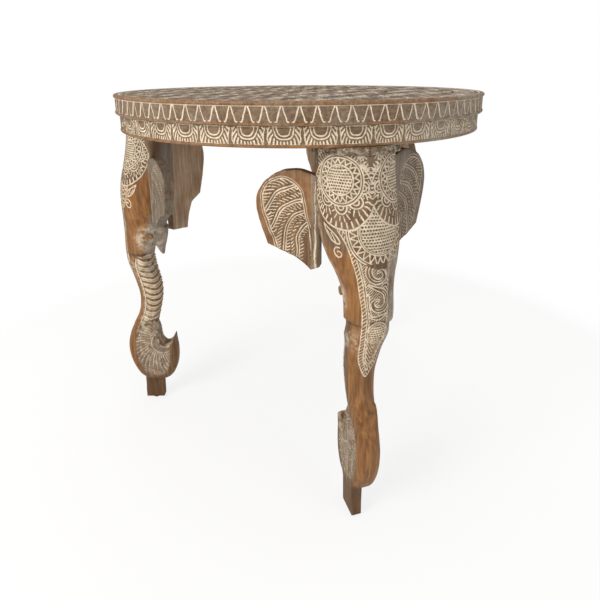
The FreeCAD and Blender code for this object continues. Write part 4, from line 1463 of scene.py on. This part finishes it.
class StoolLooks(bpy.types.PropertyGroup):
    wood_dark: FloatVectorProperty(name="Dark wood", description="Darker fibres of the carved wood", subtype="COLOR",
                                   size=3, min=0.0, max=1.0, default=(0.092, 0.049, 0.023))
    wood_light: FloatVectorProperty(name="Light wood", description="Lighter fibres of the carved wood", subtype="COLOR",
                                    size=3, min=0.0, max=1.0, default=(0.205, 0.122, 0.064))
    polish_dark: FloatVectorProperty(name="Dark polish", description="Darker fibres of the plain, rubbed wood",
                                     subtype="COLOR", size=3, min=0.0, max=1.0, default=(0.145, 0.055, 0.013))
    polish_light: FloatVectorProperty(name="Light polish", description="Lighter fibres of the plain, rubbed wood",
                                      subtype="COLOR", size=3, min=0.0, max=1.0, default=(0.3, 0.134, 0.037))
    grey_wood: FloatVectorProperty(name="Aged wood", description="Greyed, weathered wood", subtype="COLOR",
                                   size=3, min=0.0, max=1.0, default=(0.25, 0.205, 0.16))
    lime: FloatVectorProperty(name="Lime", description="Pale lime left in the cuts", subtype="COLOR",
                              size=3, min=0.0, max=1.0, default=(0.78, 0.68, 0.52))


class StoolTop(bpy.types.PropertyGroup):
    triangles: IntProperty(name="Rim triangles", description="Tall triangles round the rim",
                           default=90, min=24, max=180)
    depth: FloatProperty(name="Carving depth", description="Depth of the cuts in the top, in millimetres",
                         default=0.9, min=0.1, max=2.0)
    unsteady: FloatProperty(name="Unsteady hand", description="How far the cuts stray, in millimetres",
                            default=1.2, min=0.0, max=3.0)


class StoolApron(bpy.types.PropertyGroup):
    motifs: IntProperty(name="Motifs", description="Cup-shaped motifs round the apron", default=42, min=6, max=96)
    unsteady: FloatProperty(name="Unsteady hand", description="How far the cuts stray, in millimetres",
                            default=2.0, min=0.0, max=4.0)


class StoolLegs(bpy.types.PropertyGroup):
    depth: FloatProperty(name="Carving depth", description="Depth of the cuts in the legs, in millimetres",
                         default=0.9, min=0.1, max=2.0)
    voxel: FloatProperty(name="Fineness", description="Size of the faces of the plain wood, in millimetres",
                         default=1.52, min=0.8, max=4.0)


class StoolEars(bpy.types.PropertyGroup):
    rings: IntProperty(name="Rings", description="Rings of faces across the carved side", default=84, min=20, max=140)


class StoolStage(bpy.types.PropertyGroup):
    lens: FloatProperty(name="Lens", description="Focal length of the camera in millimetres",
                        default=30.681, min=10.0, max=200.0)
    shift: FloatProperty(name="Shift", description="Vertical shift of the camera",
                         default=-0.1333, min=-1.0, max=1.0)
    pitch: FloatProperty(name="Pitch", description="How far the camera looks down", subtype="ANGLE",
                         default=0.2869, min=0.0, max=1.5)
    roll: FloatProperty(name="Roll", description="How far the camera leans sideways", subtype="ANGLE",
                        default=-0.0051, min=-0.5, max=0.5)
    key: FloatProperty(name="Key light", description="Power of the main light", default=34.0, min=0.0, max=500.0)
    fill: FloatProperty(name="Fill light", description="Strength of the light all round",
                        default=0.55, min=0.0, max=3.0)


class StoolSettings(bpy.types.PropertyGroup):
    looks: PointerProperty(type=StoolLooks, name="Looks", description="Colours of the wood and lime")
    top: PointerProperty(type=StoolTop, name="Top", description="Sizes of the carved top")
    apron: PointerProperty(type=StoolApron, name="Apron", description="Sizes of the carved apron")
    legs: PointerProperty(type=StoolLegs, name="Legs", description="Sizes of the carved legs")
    ears: PointerProperty(type=StoolEars, name="Ears", description="Sizes of the carved ears")
    stage: PointerProperty(type=StoolStage, name="Stage", description="Camera and light")


class STOOL_OT_stage(bpy.types.Operator):
    """Add the camera, the lights and the pale floor"""
    bl_idname = "stool.stage"
    bl_label = "Stage"

    def execute(self, context):
        build_stage(context.scene.stool)
        return {"FINISHED"}


class STOOL_OT_top(bpy.types.Operator):
    """Build the four carved planks of the round top"""
    bl_idname = "stool.top"
    bl_label = "Carved top"

    def execute(self, context):
        build_top(context.scene.stool)
        return {"FINISHED"}


class STOOL_OT_apron(bpy.types.Operator):
    """Build the six carved segments of the apron"""
    bl_idname = "stool.apron"
    bl_label = "Carved apron"

    def execute(self, context):
        build_apron(context.scene.stool)
        return {"FINISHED"}


class STOOL_OT_legs(bpy.types.Operator):
    """Build the three carved legs"""
    bl_idname = "stool.legs"
    bl_label = "Carved legs"

    def execute(self, context):
        build_legs(context.scene.stool)
        return {"FINISHED"}


class STOOL_OT_ears(bpy.types.Operator):
    """Build the six ear boards"""
    bl_idname = "stool.ears"
    bl_label = "Carved ears"

    def execute(self, context):
        build_ears(context.scene.stool)
        return {"FINISHED"}


class STOOL_OT_details(bpy.types.Operator):
    """Make the paste, and give the stubs, nails and dowels their materials"""
    bl_idname = "stool.details"
    bl_label = "Small parts"

    def execute(self, context):
        build_details(context.scene.stool)
        return {"FINISHED"}


class STOOL_PT_panel(bpy.types.Panel):
    bl_label = "Elephant stool"
    bl_idname = "STOOL_PT_panel"
    bl_space_type = "VIEW_3D"
    bl_region_type = "UI"
    bl_category = "Stool"

    def draw(self, context):
        settings = context.scene.stool
        for operator, group in ((STOOL_OT_stage, settings.stage), (STOOL_OT_top, settings.top),
                                (STOOL_OT_apron, settings.apron), (STOOL_OT_legs, settings.legs),
                                (STOOL_OT_ears, settings.ears), (STOOL_OT_details, settings.looks)):
            box = self.layout.box()
            box.operator(operator.bl_idname)
            for key in group.__annotations__:
                box.prop(group, key)


CLASSES = (StoolLooks, StoolTop, StoolApron, StoolLegs, StoolEars, StoolStage, StoolSettings, STOOL_OT_stage,
           STOOL_OT_top, STOOL_OT_apron, STOOL_OT_legs, STOOL_OT_ears, STOOL_OT_details, STOOL_PT_panel)


def register():
    for item in CLASSES:
        bpy.utils.register_class(item)
    bpy.types.Scene.stool = PointerProperty(type=StoolSettings)


def unregister():
    del bpy.types.Scene.stool
    for item in reversed(CLASSES):
        bpy.utils.unregister_class(item)


def main():
    register()
    bpy.ops.stool.stage()
    bpy.ops.stool.top()
    bpy.ops.stool.apron()
    bpy.ops.stool.legs()
    bpy.ops.stool.ears()
    bpy.ops.stool.details()


if __name__ == "__main__":
    main()
